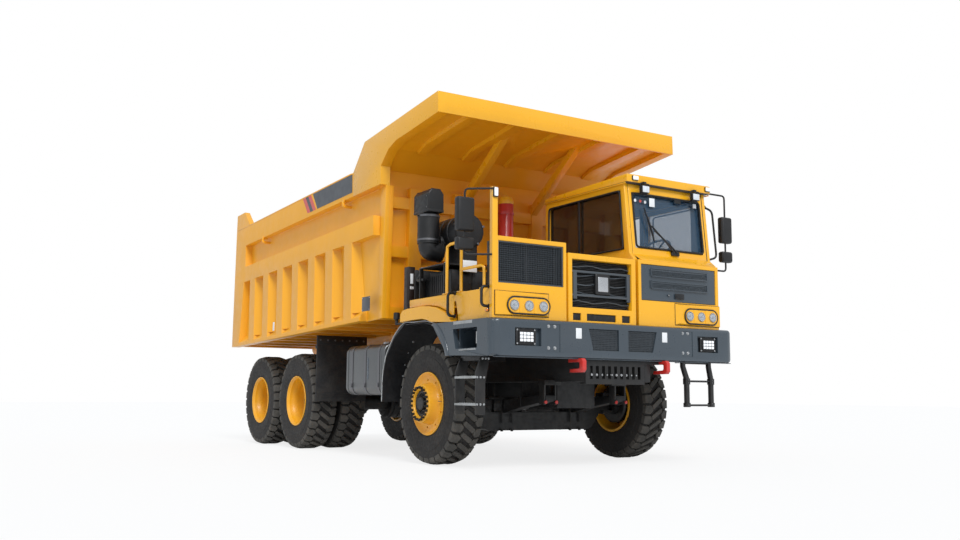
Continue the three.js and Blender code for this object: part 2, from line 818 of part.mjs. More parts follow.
function handrail() {
  const z0 = deckTop + seat;
  const x = -deckSide + 30;
  const radius = 19;
  const posts = [-637, -967, -1467];
  const top = 2640;
  const low = 2310;
  return join(
    rod([[x, posts[0], z0], [x, posts[0], top], [x, posts[1], top], [x, posts[1], z0]], radius),
    rod([[x, posts[1], low], [x, posts[2], low], [x, posts[2], z0]], radius),
    posts.map((y) => box(x - 40, x + 40, y - 40, y + 40, z0, z0 + 12)),
  );
}

// A black cap over a round canister, whose elbow leads to the air cleaner.
const shelfTop = 2430; // shelf that carries the air cleaner
const canister = { x: -deckSide + 165, y: 70, radius: 140 };

function airIntake() {
  const { x, y, radius } = canister;
  const cap = [
    [y - 188, 3140],
    [y + 188, 3140],
    [y + 188, 3380],
    [y + 110, 3440],
    [y - 110, 3440],
    [y - 188, 3380],
  ];
  const body = bar("z", radius, 2700, 3150, x, y, 16);
  const elbow = bar("z", radius - 20, shelfTop + 100, 2710, x, y, 16);
  return join(alongX(cap, x - 110, x + 110), body, elbow);
}

function airCleaner() {
  const drum = { x: canister.x + 360, z: 2905, radius: 205, front: -350, rear: 250 };
  const shelf = { inner: drum.x + 225, front: -590, rear: 30 };
  const { inner, front, rear } = shelf;
  const top = box(-deckSide + 20, inner, front, rear, shelfTop - 15, shelfTop);
  const shell = bar("y", drum.radius, drum.front, drum.rear, drum.x, drum.z, 16);
  const saddles = [drum.front + 40, rear - 40].map((y) =>
    box(drum.x - 120, drum.x + 120, y - 25, y + 25, shelfTop - 5, drum.z),
  );
  const hose = bar("x", 90, canister.x + canister.radius + seat, drum.x - 100, canister.y, 2790, 12);
  const legs = [front, rear - 20].flatMap((y) =>
    [-deckSide + 20, inner - 50].map((x) => box(x, x + 50, y, y + 20, deckTop + seat, shelfTop - 5)),
  );
  const cabinet = box(drum.x - 375, inner, front + 60, rear - 40, deckTop + seat, shelfTop - 60);
  const riser = box(drum.x - 125, drum.x - 25, -300, -200, shelfTop - 70, shelfTop - 5);
  return join(shell, top, saddles, hose, legs, cabinet, riser);
}

// A narrow upright cabinet held by an arm off the deck's rear edge.
function rearCabinet() {
  const front = deckRear + 148;
  const upright = box(-deckSide + 50, -deckSide + 150, front, front + 112, 1930, 2490);
  return join(upright, box(-deckSide + 60, -deckSide + 140, deckRear + seat, front + 10, 2000, 2035));
}

const leftMirrorStand = 478; // cab side to the left mirror's outer edge
const rightMirrorStand = 363; // front post to the right mirror's outer edge

// A west-coast mirror: a bent arm with a tall glass and a small wide-angle glass.
function mirror(points, x0, x1, y, tall, small) {
  const arm = rod(points, 13, 8, 6);
  const head = (z0, z1) => box(x0, x1, y - 45, y + 35, z0, z1);
  return join(arm, head(tall[0], tall[1]), head(small[0], small[1]));
}

function leftMirror() {
  const root = cabOuter + 50 + seat;
  const y = -1450;
  const outer = cabOuter + leftMirrorStand;
  const stem = outer - 96;
  const points = [
    [root, y, 3540],
    [stem, y, 3540],
    [stem, y, 2516],
    [cabOuter + seat, y, 2516],
  ];
  return mirror(points, outer - 192, outer, y, [2892, 3247], [2633, 2780]);
}

function rightMirror() {
  const root = rightFasciaOut - seat;
  const bend = root - 90;
  const rootY = fasciaFront + fasciaWall / 2;
  const y = -1510;
  const outer = rightFasciaOut - rightMirrorStand;
  const stem = outer + 116;
  const points = [
    [root, rootY, 3140],
    [bend, rootY, 3140],
    [stem, y, 3140],
    [stem, y, 2400],
    [bend, rootY, 2400],
    [root, rootY, 2400],
  ];
  return mirror(points, outer, outer + 228, y, [2657, 3044], [2446, 2592]);
}

// The engine as one mass with its sump, and its four mounting feet against the rails.
function engineBlock() {
  const reach = railInner - seat;
  const feet = [-860, 200].map((y) => box(-reach, reach, y - 60, y + 60, railBottom + 110, railBottom + 230));
  const sump = box(-330, 260, -900, -150, 700, railBottom + 70);
  return join(box(-360, 290, -1240, 500, railBottom + 60, 2000), sump, feet);
}

function boardingLadder() {
  const back = -1712;
  const half = 25;
  const rail = (head, foot) =>
    alongY(
      [
        [head - half, bumperBottom - seat],
        [foot - half, 1130],
        [foot - half, 728],
        [foot + half, 728],
        [foot + half, 1130],
        [head + half, bumperBottom - seat],
      ],
      -1762,
      back,
    );
  const rung = (z) => box(1040, 1455, -1762, back, z - 12, z + 12);
  const tie = box(980, 1420, back - 30, back, 1250, bumperBottom - seat);
  return join(rail(980, 1040), rail(1420, 1455), rung(1040), rung(745), tie);
}

function sideSteps() {
  const plate = (y) =>
    alongY(
      [
        [5 - bumperHalf, 640],
        [130 - bumperHalf, 640],
        [130 - bumperHalf, 990],
        [190 - bumperHalf, bumperBottom - seat],
        [70 - bumperHalf, bumperBottom - seat],
        [5 - bumperHalf, 1110],
      ],
      y - 12,
      y + 12,
    );
  const rung = (z) => box(-bumperHalf, 50 - bumperHalf, -1420, -970, z - 12, z + 12);
  const tie = box(80 - bumperHalf, 170 - bumperHalf, -1420, -970, 1240, 1270);
  return join(plate(-1412), plate(-978), rung(1052), rung(750), tie, stepHanger());
}

function stepHanger() {
  return box(80 - bumperHalf, 160 - bumperHalf, -1420, -970, 1260, stepPocket.bottom - 40 - seat);
}

// ---------------------------------------------------------------- axles, springs and steering

const beamFoot = 655;
const beamTop = 838;

function frontAxle() {
  const half = 90;
  const beam = [
    [-kingpinX, beamFoot],
    [-kingpinX + 130, beamFoot],
    [-860, 430],
    [-780, 405],
    [780, 405],
    [860, 430],
    [kingpinX - 130, beamFoot],
    [kingpinX, beamFoot],
    [kingpinX, beamTop],
    [1010, beamTop],
    [760, 640],
    [-760, 640],
    [-1010, beamTop],
    [-kingpinX, beamTop],
  ];
  let axle = alongY(beam, -half, half);
  for (const s of [1, -1]) {
    axle = axle.add(bar("z", 75, beamFoot, beamTop, s * kingpinX, 0, 20));
    const x = s * frontSpringX;
    const leaves = [
      [-hangerY - 60, springEyeZ - 30],
      [-hangerY - 60, springEyeZ + 40],
      [-hangerY + 60, springEyeZ + 45],
      [-200, 800],
      [200, 800],
      [hangerY - 60, springEyeZ + 45],
      [hangerY + 60, springEyeZ + 40],
      [hangerY + 60, springEyeZ - 30],
      [500, 700],
      [160, 630],
      [-160, 630],
      [-500, 700],
    ];
    axle = axle.add(alongX(leaves, x - frontSpringHalf, x + frontSpringHalf));
    axle = axle.subtract(bar("z", kingpinRadius + 1, 600, 900, s * kingpinX, 0, 20));
  }
  return axle;
}

// A yoke that turns on the kingpin and carries the wheel's spindle.
function knuckle(s) {
  const top = beamTop + seat;
  const foot = beamFoot - seat;
  const x = s * kingpinX;
  const plateIn = s * (kingpinX + 95);
  const plateOut = s * (kingpinX + 150);
  const spindleRadius = hubBore - seat;
  const spindleEnd = frontTrack + 165;
  return join(
    bar("z", kingpinRadius, foot - 50, top + 60, x, 0, 20),
    box(s * (kingpinX - 75), plateOut, -80, 80, top, top + 55),
    box(s * (kingpinX - 75), plateOut, -80, 80, foot - 45, foot),
    box(plateIn, plateOut, -90, 90, foot - 45, top + 55),
    bar("x", 150, plateIn, s * (frontTrack - 75), 0, axleZ, 20),
    bar("x", spindleRadius, plateIn, s * spindleEnd, 0, axleZ, 24),
    box(s * (kingpinX - 40), s * (kingpinX + 100), 60, 330, foot - 45, foot - 5),
  );
}

function drivenAxle(nose) {
  const housing = bar("x", 140, -rearTrack + 215, rearTrack - 215, 0, axleZ, 20);
  const end = rearTrack + hubEnd - 40;
  const spindle = bar("x", drivenSpindle, -end, end, 0, axleZ, 24);
  const bowl = bar("x", 270, -190, 190, 0, axleZ, 20);
  const input = bar("y", 130, -nose, 0, 0, axleZ + 40, 16);
  const pads = [1, -1].map((s) =>
    box(s * (bogieSpringX - 60), s * (bogieSpringX + 60), -100, 100, axleZ, bogieEndZ - seat),
  );
  return join(housing, spindle, bowl, input, pads);
}

const bogieSpringX = 620;
const bogieEndZ = 900;

// The two bogie spring packs, joined by the trunnion shaft that runs under the rails.
function bogieSprings() {
  const span = tandem / 2;
  const pack = [
    [-span - 150, bogieEndZ],
    [-span - 150, bogieEndZ + 45],
    [-260, 1010],
    [260, 1010],
    [span + 150, bogieEndZ + 45],
    [span + 150, bogieEndZ],
    [span - 150, bogieEndZ],
    [220, 850],
    [-220, 850],
    [-span + 150, bogieEndZ],
  ];
  const packs = [1, -1].map((s) => alongX(pack, s * (bogieSpringX - 60), s * (bogieSpringX + 60)));
  const saddle = (s) => box(s * (bogieSpringX - 90), s * (bogieSpringX + 60), -90, 90, 830, railBottom - seat);
  const shaft = bar("x", 60, -bogieSpringX, bogieSpringX, 0, trunnionZ, 16);
  const pads = [1, -1].map((s) => box(s * railInner, s * (bogieSpringX), -90, 90, 880, railBottom - seat));
  return join(packs, saddle(1), saddle(-1), shaft, pads);
}

// ---------------------------------------------------------------- wheels

function tyreSection(centre) {
  const bead = rimSeat + 0.5;
  const half = [
    [152, bead],
    [tyreHalf, 500],
    [tyreHalf - 8, 680],
    [tyreHalf - 27, tyreRadius],
  ];
  const mirrored = half.map(([x, r]) => [centre - x, r]);
  const straight = half.map(([x, r]) => [centre + x, r]).reverse();
  const section = [...mirrored, ...straight];
  return [...section, section[0]];
}

function frontTyre() {
  return turned(tyreSection(0));
}

// The rim dishes outwards and its hub stands proud of the flange.
function frontRim() {
  const f = flangeHalf;
  return turned([
    [250, 0],
    [250, 155],
    [294, 160],
    [294, 235],
    [172, 240],
    [150, 300],
    [165, 348],
    [f, 350],
    [f, flangeRadius],
    [f - 28, flangeRadius],
    [f - 40, rimSeat],
    [-f + 40, rimSeat],
    [-f + 28, flangeRadius],
    [-f, flangeRadius],
    [-f, 350],
    [100, 345],
    [120, 230],
    [120, 150],
    [-60, 150],
    [-60, hubBore],
    [180, hubBore],
    [180, 0],
  ]);
}

// Two rims on one hub with both tyres mounted: a deep dish outside and the hub's bore inside.
function twinWheel() {
  const t = twinSpacing / 2;
  const outer = t + flangeHalf;
  const mounted = (centre) => {
    const open = tyreSection(centre).slice(1, -2);
    return open.reverse();
  };
  return turned([
    [hubEnd, 0],
    [hubEnd, 150],
    [150, 165],
    [130, 330],
    [outer, 350],
    [outer, flangeRadius],
    ...mounted(t),
    [t - 152, rimSeat],
    [152 - t, rimSeat],
    ...mounted(-t),
    [-outer, flangeRadius],
    [-outer, 350],
    [60, 345],
    [80, 190],
    [-200, 190],
    [-200, drivenSpindle + seat],
    [hubEnd - 30, drivenSpindle + seat],
    [hubEnd - 30, 0],
  ]);
}

function placed(meshes, x, y, z, turn) {
  const holder = group(...meshes);
  holder.position.set(x, y, z);
  holder.rotation.z = turn;
  return holder;
}

function frontWheel(side) {
  const s = sides[side];
  const meshes = [
    node(`tyre_front_${side}`, frontTyre(), "tyre"),
    node(`rim_front_${side}`, frontRim(), "yellow"),
  ];
  return placed(meshes, s * frontTrack, 0, axleZ, s > 0 ? 0 : Math.PI);
}

function twin(place, side, y) {
  const s = sides[side];
  const mesh = node(`twin_wheel_${place}_${side}`, twinWheel(), "tyre");
  return placed([mesh], s * rearTrack, y, axleZ, s > 0 ? 0 : Math.PI);
}

// ---------------------------------------------------------------- dump body
// Drawn level with its rear lower edge at the origin and its front towards -y, then raked.

function headLine(z) {
  return -bedLength - (headLean * z) / topRailFrom;
}

// A vertical rib with splayed flanks that stands out of the side sheet.
function sideRib(s, y) {
  const sheet = bedHalf - sideRecess;
  const base = ribWidth / 2 + 12;
  const crown = ribWidth / 2 - 28;
  const plan = [
    [s * (sheet - 5), y - base],
    [s * bedHalf, y - crown],
    [s * bedHalf, y + crown],
    [s * (sheet - 5), y + base],
  ];
  return alongZ(plan, 54, midRailFrom + 10);
}

function bedSide(s) {
  const inner = bedHalf - sideRecess - sideWall;
  const sheet = bedHalf - sideRecess;
  const sheetOutline = [
    [0, 0],
    [-100, topRailTo],
    [-cheekFrom, topRailTo],
    [-cheekFrom, topRailFrom],
    [headLine(topRailFrom), topRailFrom],
    [headLine(0), 0],
  ];
  const rearPost = [
    [0, 0],
    [-365, 0],
    [-620, midRailTo],
    [-600, topRailTo],
    [-100, topRailTo],
  ];
  const horn = [
    [-100, topRailTo - 5],
    [-120, topRailTo + 280],
    [-520, topRailTo + 280],
    [-820, topRailTo - 5],
  ];
  const frontPost = [
    [headLine(0), 0],
    [headLine(topRailFrom), topRailFrom],
    [headLine(topRailFrom) + 160, topRailFrom],
    [headLine(0) + 90, 0],
  ];
  const sill = [
    [s * (sheet - 5), 0],
    [s * bedHalf, 0],
    [s * bedHalf, 54],
    [s * (sheet - 5), 54 + sideRecess],
  ];
  const side = join(
    alongX(sheetOutline, s * inner, s * sheet),
    alongX(rearPost, s * inner, s * bedHalf),
    alongX(horn, s * (bedHalf - 90), s * bedHalf),
    alongX(frontPost, s * inner, s * (bedHalf - 90)),
    box(s * inner, s * bedHalf, -cheekFrom, -150, topRailFrom, topRailTo),
    box(s * inner, s * bedHalf, -bedLength + 88, -150, midRailFrom, midRailTo),
    alongY(sill, -bedLength + 500, -300),
  );
  const ribs = Array.from({ length: ribCount }, (_, i) => sideRib(s, -lastRib - i * ribPitch));
  return join(side, ribs);
}

// The floor with its cross-bearers and the two long sills that rest on the chassis rails.
function bedFloor() {
  const half = bedHalf - sideRecess - sideWall - seat;
  const floorFront = headLine(0) + 130 + seat;
  const plate = box(-half, half, floorFront, 0, floorTop - 30, floorTop);
  const bearers = [box(-half, half, floorFront, floorFront + 80, 0, floorTop - 25)];
  for (let y = -180; y > floorFront + 200; y -= 545) {
    bearers.push(box(-half, half, y - 50, y + 50, 0, floorTop - 25));
  }
  return join(plate, bearers, sills());
}

const sillFront = 1100;

// In truck coordinates the sills lie flat on the rails; here they are turned into the raked body's frame.
function sills() {
  const toBody = (y, z) => {
    const dy = y - bedRear;
    const dz = z - bedBottom;
    const c = Math.cos(bedRake);
    const k = Math.sin(bedRake);
    return [dy * c - dz * k, dy * k + dz * c];
  };
  const rest = railTop + seat;
  const outline = [
    toBody(sillFront, rest),
    toBody(bedHingeY - 120, rest),
    toBody(bedHingeY + 200, bedBottom - 40),
    toBody(bedHingeY + 200, bedBottom + 50),
    toBody(sillFront, bedBottom + 210),
  ];
  const ear = [
    ...arc(bedHingeY, bedHingeZ, 80, 0, -180, 8).map(([y, z]) => toBody(y, z)),
    toBody(bedHingeY - 130, rest + 60),
    toBody(bedHingeY - 60, bedBottom - 20),
    toBody(bedHingeY + 110, bedBottom - 20),
  ];
  const bore = arc(bedHingeY, bedHingeZ, hingePinRadius + 1.2, 0, 345, 15).map(([y, z]) => toBody(y, z));
  const parts = [];
  for (const s of [1, -1]) {
    parts.push(alongX(outline, s * (railInner + 5), s * (railOuter - 5)));
    parts.push(alongX(ear, s * (railInner - 90), s * (railInner - 15), [bore]));
    parts.push(crossTie(s, toBody));
  }
  return join(parts);
}

function crossTie(s, toBody) {
  const outline = [
    toBody(bedHingeY - 60, railTop + 60),
    toBody(bedHingeY + 60, railTop + 150),
    toBody(bedHingeY + 60, bedBottom + 20),
    toBody(bedHingeY - 60, bedBottom + 20),
  ];
  return alongX(outline, s * (railInner - 90), s * (railInner + 20));
}

const headPosts = [-1365, -660, 660, 1365];
const headRails = [830, 1490];

function bedHeadboard() {
  const half = bedHalf - sideRecess - sideWall - seat;
  const top = 2010;
  const slab = (from, to, z0, z1) => [
    [headLine(z0) + from, z0],
    [headLine(z1) + from, z1],
    [headLine(z1) + to, z1],
    [headLine(z0) + to, z0],
  ];
  const sheet = alongX(slab(100, 130, floorTop - 110, top), -half, half);
  const posts = headPosts.map((x) => alongX(slab(0, 105, 0, topRailFrom), x - 98, x + 98));
  const edges = [1, -1].map((s) => alongX(slab(0, 105, 0, topRailFrom), s * half, s * (half - 60)));
  const rails = headRails.map((z) => alongX(slab(20, 105, z, z + 155), -half, half));
  const foot = alongX(slab(20, 105, 0, 160), -half, half);
  return join(sheet, posts, edges, rails, foot, hoistBrackets());
}

// Two ears low on the headboard that hold the hoist cover's trunnions.
function hoistBrackets() {
  const c = Math.cos(bedRake);
  const k = Math.sin(bedRake);
  const dy = hoistY - bedRear;
  const dz = hoistTrunnionZ - bedBottom;
  const y = dy * c - dz * k;
  const z = dy * k + dz * c;
  const ears = [1, -1].map((s) => box(s * 150, s * 190, y - 60, headLine(0) + 100, z - 60, 140));
  const bores = bar("x", 37, -200, 200, y, z, 16);
  const beam = [1, -1].map((s) => box(s * 185, s * 640, headLine(0) + 25, headLine(0) + 100, z - 20, 80));
  return cut(join(ears, beam), bores);
}

function bedCanopy() {
  const cheek = [
    [-cheekFrom - seat, topRailFrom + seat],
    [-cheekFrom - seat, topRailTo],
    [375 - bedLength, 2485],
    [-canopyReach, 2622],
    [-canopyReach, 2358],
    [-778 - bedLength, 2289],
    [-566 - bedLength, 2277],
    [-348 - bedLength, 2210],
    [-126 - bedLength, 2033],
    [headLine(topRailFrom), topRailFrom + seat],
  ];
  const top = 2010 + seat;
  const sheet = [
    [headLine(top) + 100, top],
    [-302 - bedLength, 2240],
    [-566 - bedLength, 2330],
    [-canopyReach + 20, 2425],
    [-canopyReach + 20, 2455],
    [-566 - bedLength, 2362],
    [-282 - bedLength, 2280],
    [headLine(top) + 130, top],
  ];
  const half = bedHalf - sideRecess - sideWall;
  const cheeks = [1, -1].map((s) => alongX(cheek, s * half, s * bedHalf));
  const lip = box(-half - 5, half + 5, -canopyReach, -canopyReach + 30, 2358, 2622);
  const rib = [
    [-canopyReach + 10, 2362],
    [-canopyReach + 10, 2440],
    [-566 - bedLength, 2345],
    [-292 - bedLength, 2262],
    [-342 - bedLength, 2205],
    [-566 - bedLength, 2280],
  ];
  const ribs = [-1400, -700, 0, 700, 1400].map((x) => alongX(rib, x - 75, x + 75));
  return join(cheeks, alongX(sheet, -half - 5, half + 5), lip, ribs, canopyStruts());
}

// Two diagonal struts between the headboard's centre posts and the canopy.
function canopyStruts() {
  const footFrom = topRailFrom - 165;
  const footTo = topRailFrom - 10;
  const strut = [
    [headLine(footFrom) - seat, footFrom],
    [-1242 - bedLength, 2400],
    [-1082 - bedLength, 2395],
    [headLine(footTo) - seat, footTo],
  ];
  return [1, -1].map((s) => alongX(strut, s * 550, s * 650));
}

// ---------------------------------------------------------------- hoist

const stageOneRadius = 92;
const stageTwoRadius = 74;
const hoistSides = 24;

// A bore has as many sides as the stage in it, so the gap between them is even.
const boreFor = (radius) => radius + 0.5;

function hoistCover() {
  const bottom = hoistFootZ + 120;
  const tube = bar("z", coverRadius, bottom, hoistTop, 0, hoistY, hoistSides);
  const cap = bar("z", coverRadius - 15, hoistTop - 1, hoistTop + 90, 0, hoistY, hoistSides);
  const bore = bar("z", boreFor(stageOneRadius), bottom - 5, hoistTop - 30, 0, hoistY, hoistSides);
  const trunnions = bar("x", 36, -185, 185, hoistY, hoistTrunnionZ, 16);
  const collar = bar("z", coverRadius + 18, hoistTrunnionZ - 60, hoistTrunnionZ + 60, 0, hoistY, hoistSides);
  return cut(join(tube, cap, trunnions, collar), bore);
}

function hoistStageOne() {
  const bottom = hoistFootZ + 95;
  const tube = bar("z", stageOneRadius, bottom, hoistTop - 60, 0, hoistY, hoistSides);
  const bore = bar("z", boreFor(stageTwoRadius), bottom - 5, hoistTop - 90, 0, hoistY, hoistSides);
  return cut(tube, bore);
}

function hoistStageTwo() {
  const tube = bar("z", stageTwoRadius, hoistFootZ + 40, hoistTop - 120, 0, hoistY, hoistSides);
  const eye = bar("x", 48, -60, 60, hoistY, hoistFootZ, 16);
  const pin = bar("x", 30, seat - earGap, earGap - seat, hoistY, hoistFootZ, 12);
  return join(tube, eye, pin);
}

// ---------------------------------------------------------------- assembly

const dumpBody = group(
  node("bed_floor", bedFloor(), "yellow"),
  node("bed_side_left", bedSide(1), "yellow"),
  node("bed_side_right", bedSide(-1), "yellow"),
  node("bed_headboard", bedHeadboard(), "yellow"),
  node("bed_canopy", bedCanopy(), "yellow"),
);
dumpBody.position.set(0, bedRear, bedBottom);
dumpBody.rotation.x = -bedRake;

const midAxle = group(node("mid_axle", drivenAxle(520), "castIron"));
midAxle.position.y = midAxleY;
const rearAxle = group(node("rear_axle", drivenAxle(420), "castIron"));
rearAxle.position.y = rearAxleY;
const bogie = group(node("bogie_springs", bogieSprings(), "castIron"));
bogie.position.y = trunnionY;

const halfway = (object) => new THREE.Box3().setFromObject(object, true).getCenter(new THREE.Vector3());

const truck = group(
  node("chassis_frame", chassisFrame(), "black"),
  node("front_bumper", frontBumper(), "darkGrey"),
  node("front_guard", frontGuard(), "darkGrey"),
  node("fascia_right", rightFascia(), "yellow"),
  node("screen_mesh", screenMesh(), "black"),
  node("radiator_surround", radiatorSurround(), "yellow"),
  node("radiator_grille", radiatorGrille(), "darkGrey"),
  node("headlamp_right", headlamp(rightFasciaOut + 185, rightFasciaOut + 761, 1758, 1944), "lamp"),
  node("headlamp_left", headlamp(cabOuter - 643, cabOuter - 75, 1757, 1943), "lamp"),
  node("cab_base", cabBase(), "yellow"),
  node("service_hatch", serviceHatch(), "darkGrey"),
  node("cab_windscreen_frame", windscreenFrame(), "yellow"),
  node("windscreen", windscreen(), "glass"),
  node("cab_inner_side", cabInnerSide(), "yellow"),
  node("cab_side_glass", cabSideGlass(), "glass"),
  node("cab_outer_side", cabOuterSide(), "yellow"),
  node("cab_door", cabDoor(), "yellow"),
  node("door_glass", doorGlass(), "glass"),
  node("cab_rear_wall", cabRearWall(), "yellow"),
  node("rear_glass", rearGlass(), "glass"),
  node("cab_roof", cabRoof(), "yellow"),
  node("driver_seat", driverSeat(), "fabric"),
  node("steering_wheel", steeringWheel(), "black"),
  node("deck_right", rightDeck(), "yellow"),
  node("fender_right", fender(-1), "yellow"),
  node("fender_left", fender(1), "yellow"),
  node("handrail", handrail(), "yellow"),
  node("mirror_left", leftMirror(), "black"),
  node("mirror_right", rightMirror(), "black"),
  node("air_intake", airIntake(), "black"),
  node("air_cleaner", airCleaner(), "black"),
  node("rear_cabinet", rearCabinet(), "black"),
  node("engine_block", engineBlock(), "castIron"),
  node("fuel_tank", fuelTank(), "aluminium"),
  node("hydraulic_tank", hydraulicTank(), "black"),
  node("mudflaps", mudFlaps(), "black"),
  node("boarding_ladder", boardingLadder(), "black"),
  node("side_steps", sideSteps(), "darkGrey"),
  node("front_axle", frontAxle(), "castIron"),
  node("knuckle_left", knuckle(1), "castIron"),
  node("knuckle_right", knuckle(-1), "castIron"),
  midAxle,
  rearAxle,
  bogie,
  frontWheel("left"),
  frontWheel("right"),
  twin("mid", "left", midAxleY),
  twin("mid", "right", midAxleY),
  twin("rear", "left", rearAxleY),
  twin("rear", "right", rearAxleY),
  node("hoist_cover", hoistCover(), "red"),
  node("hoist_stage_1", hoistStageOne(), "chrome"),
  node("hoist_stage_2", hoistStageTwo(), "chrome"),
  dumpBody,
);

// The origin lies midway between the recovery hooks and the body's rear edge.
truck.position.y = -halfway(truck).y;

export default group(truck);
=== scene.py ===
import json
import math

import bpy
from mathutils import Matrix, Vector


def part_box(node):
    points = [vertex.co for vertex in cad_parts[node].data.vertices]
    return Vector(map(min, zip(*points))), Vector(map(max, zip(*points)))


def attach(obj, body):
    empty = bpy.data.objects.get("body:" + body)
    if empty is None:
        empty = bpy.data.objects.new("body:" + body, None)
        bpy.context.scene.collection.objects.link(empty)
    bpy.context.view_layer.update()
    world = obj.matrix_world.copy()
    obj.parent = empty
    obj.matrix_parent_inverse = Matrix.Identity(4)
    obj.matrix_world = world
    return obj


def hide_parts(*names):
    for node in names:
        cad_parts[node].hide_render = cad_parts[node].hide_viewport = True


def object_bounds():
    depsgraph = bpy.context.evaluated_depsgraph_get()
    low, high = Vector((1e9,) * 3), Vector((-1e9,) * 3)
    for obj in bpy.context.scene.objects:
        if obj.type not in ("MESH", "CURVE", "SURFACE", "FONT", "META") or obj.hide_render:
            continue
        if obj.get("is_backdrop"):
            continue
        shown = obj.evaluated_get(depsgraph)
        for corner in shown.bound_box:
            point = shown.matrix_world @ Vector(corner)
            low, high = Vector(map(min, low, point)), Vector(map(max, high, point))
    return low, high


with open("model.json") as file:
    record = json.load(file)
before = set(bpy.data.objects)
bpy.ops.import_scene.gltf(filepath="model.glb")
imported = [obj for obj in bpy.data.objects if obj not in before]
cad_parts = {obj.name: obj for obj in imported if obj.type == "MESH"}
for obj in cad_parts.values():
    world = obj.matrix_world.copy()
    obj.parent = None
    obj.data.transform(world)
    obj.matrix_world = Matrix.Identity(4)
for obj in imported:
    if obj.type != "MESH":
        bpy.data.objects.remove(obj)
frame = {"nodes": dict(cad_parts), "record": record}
cadBox = [list(corner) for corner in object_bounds()]
nodes = frame["nodes"]
bodyOf = {node: body for body, members in frame["record"]["behaviour"]["bodies"].items() for node in members}
tyreLow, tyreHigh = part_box("tyre_front_left")
axleY = (tyreLow.y + tyreHigh.y) / 2  # the front axle's place, from which the sizes below are measured
axleShift = Vector((0, axleY, 0))
print("frame loaded:", len(nodes), "nodes")


# Small modelling helpers.

def deselectAll():
    if bpy.context.mode != "OBJECT":
        bpy.ops.object.mode_set(mode="OBJECT")
    bpy.ops.object.select_all(action="DESELECT")


def activate(piece):
    deselectAll()
    piece.select_set(True)
    bpy.context.view_layer.objects.active = piece


def applyModifiers(piece):
    activate(piece)
    for modifier in list(piece.modifiers):
        bpy.ops.object.modifier_apply(modifier=modifier.name)


def smooth(piece, angle=35):
    activate(piece)
    bpy.ops.object.shade_smooth_by_angle(angle=math.radians(angle))
    applyModifiers(piece)


def bevelEdges(piece, width, segments=2, angle=32):
    if width > 0:
        bevel = piece.modifiers.new("edges", "BEVEL")
        bevel.width = width
        bevel.segments = segments
        bevel.limit_method = "ANGLE"
        bevel.angle_limit = math.radians(angle)
        applyModifiers(piece)
    smooth(piece, angle)


def settle(piece):
    activate(piece)
    bpy.ops.object.transform_apply(location=True, rotation=True, scale=True)


def editAll(piece):
    activate(piece)
    bpy.ops.object.mode_set(mode="EDIT")
    bpy.ops.mesh.select_all(action="SELECT")


def leaveEdit():
    bpy.ops.object.mode_set(mode="OBJECT")


def facesOutward(piece):
    editAll(piece)
    bpy.ops.mesh.remove_doubles(threshold=0.00002)
    bpy.ops.mesh.normals_make_consistent(inside=False)
    leaveEdit()


def addBox(name, low, high, bevel=0.004, segments=2):
    deselectAll()
    low = Vector(low) + axleShift
    high = Vector(high) + axleShift
    bpy.ops.mesh.primitive_cube_add(size=1, location=(low + high) / 2)
    piece = bpy.context.active_object
    piece.name = name
    piece.scale = high - low
    settle(piece)
    bevelEdges(piece, bevel, segments)
    return piece


# A flat outline drawn across an axis and extruded along it.
# Across x its points are (y, z), across y (x, z), and across z (x, y).
def addProfile(name, outline, axis, start, end, bevel=0.004, segments=2):
    deselectAll()
    bpy.ops.mesh.primitive_circle_add(vertices=len(outline), radius=1, fill_type="NGON")
    piece = bpy.context.active_object
    piece.name = name
    for vertex, (a, b) in zip(piece.data.vertices, outline):
        vertex.co = {"x": (start, a + axleY, b), "y": (a, start + axleY, b), "z": (a, b + axleY, start)}[axis]
    editAll(piece)
    move = {"x": (end - start, 0, 0), "y": (0, end - start, 0), "z": (0, 0, end - start)}[axis]
    bpy.ops.mesh.extrude_region_move(TRANSFORM_OT_translate={"value": move})
    leaveEdit()
    facesOutward(piece)
    bevelEdges(piece, bevel, segments)
    return piece


# A closed section of (distance along the axis, radius) points, spun right round.
def addTurned(name, section, centre, axis="x", steps=48, angle=30):
    deselectAll()
    centre = Vector(centre) + axleShift
    bpy.ops.mesh.primitive_circle_add(vertices=len(section), radius=1, fill_type="NOTHING")
    piece = bpy.context.active_object
    piece.name = name
    for vertex, (along, radius) in zip(piece.data.vertices, section):
        offset = {"x": (along, 0, radius), "y": (0, along, radius), "z": (radius, 0, along)}[axis]
        vertex.co = centre + Vector(offset)
    editAll(piece)
    direction = {"x": (1, 0, 0), "y": (0, 1, 0), "z": (0, 0, 1)}[axis]
    bpy.ops.mesh.spin(steps=steps, angle=2 * math.pi, center=centre, axis=direction)
    leaveEdit()
    facesOutward(piece)
    smooth(piece, angle)
    return piece


# A square-edged ring.
def addHoop(name, start, end, inner, outer, centre, axis, steps=48):
    return addTurned(name, [(start, inner), (start, outer), (end, outer), (end, inner)], centre, axis, steps)


def addRound(name, radius, start, end, centre, axis="x", sides=32, bevel=0.003):
    lip = min(bevel, abs(end - start) / 3, radius / 3)
    section = [(start, 0), (start, radius - lip), (start + math.copysign(lip, end - start), radius),
        (end - math.copysign(lip, end - start), radius), (end, radius - lip), (end, 0)]
    return addTurned(name, section, centre, axis, sides)


def roundedPath(points, bend, steps=5):
    points = [Vector(point) for point in points]
    path = [points[0]]
    for before, corner, after in zip(points, points[1:], points[2:]):
        back = (before - corner).normalized() * min(bend, (before - corner).length / 2.1)
        on = (after - corner).normalized() * min(bend, (after - corner).length / 2.1)
        for step in range(steps + 1):
            t = step / steps
            path.append(corner + back * (1 - t) ** 2 + on * t ** 2)
    return path + [points[-1]]


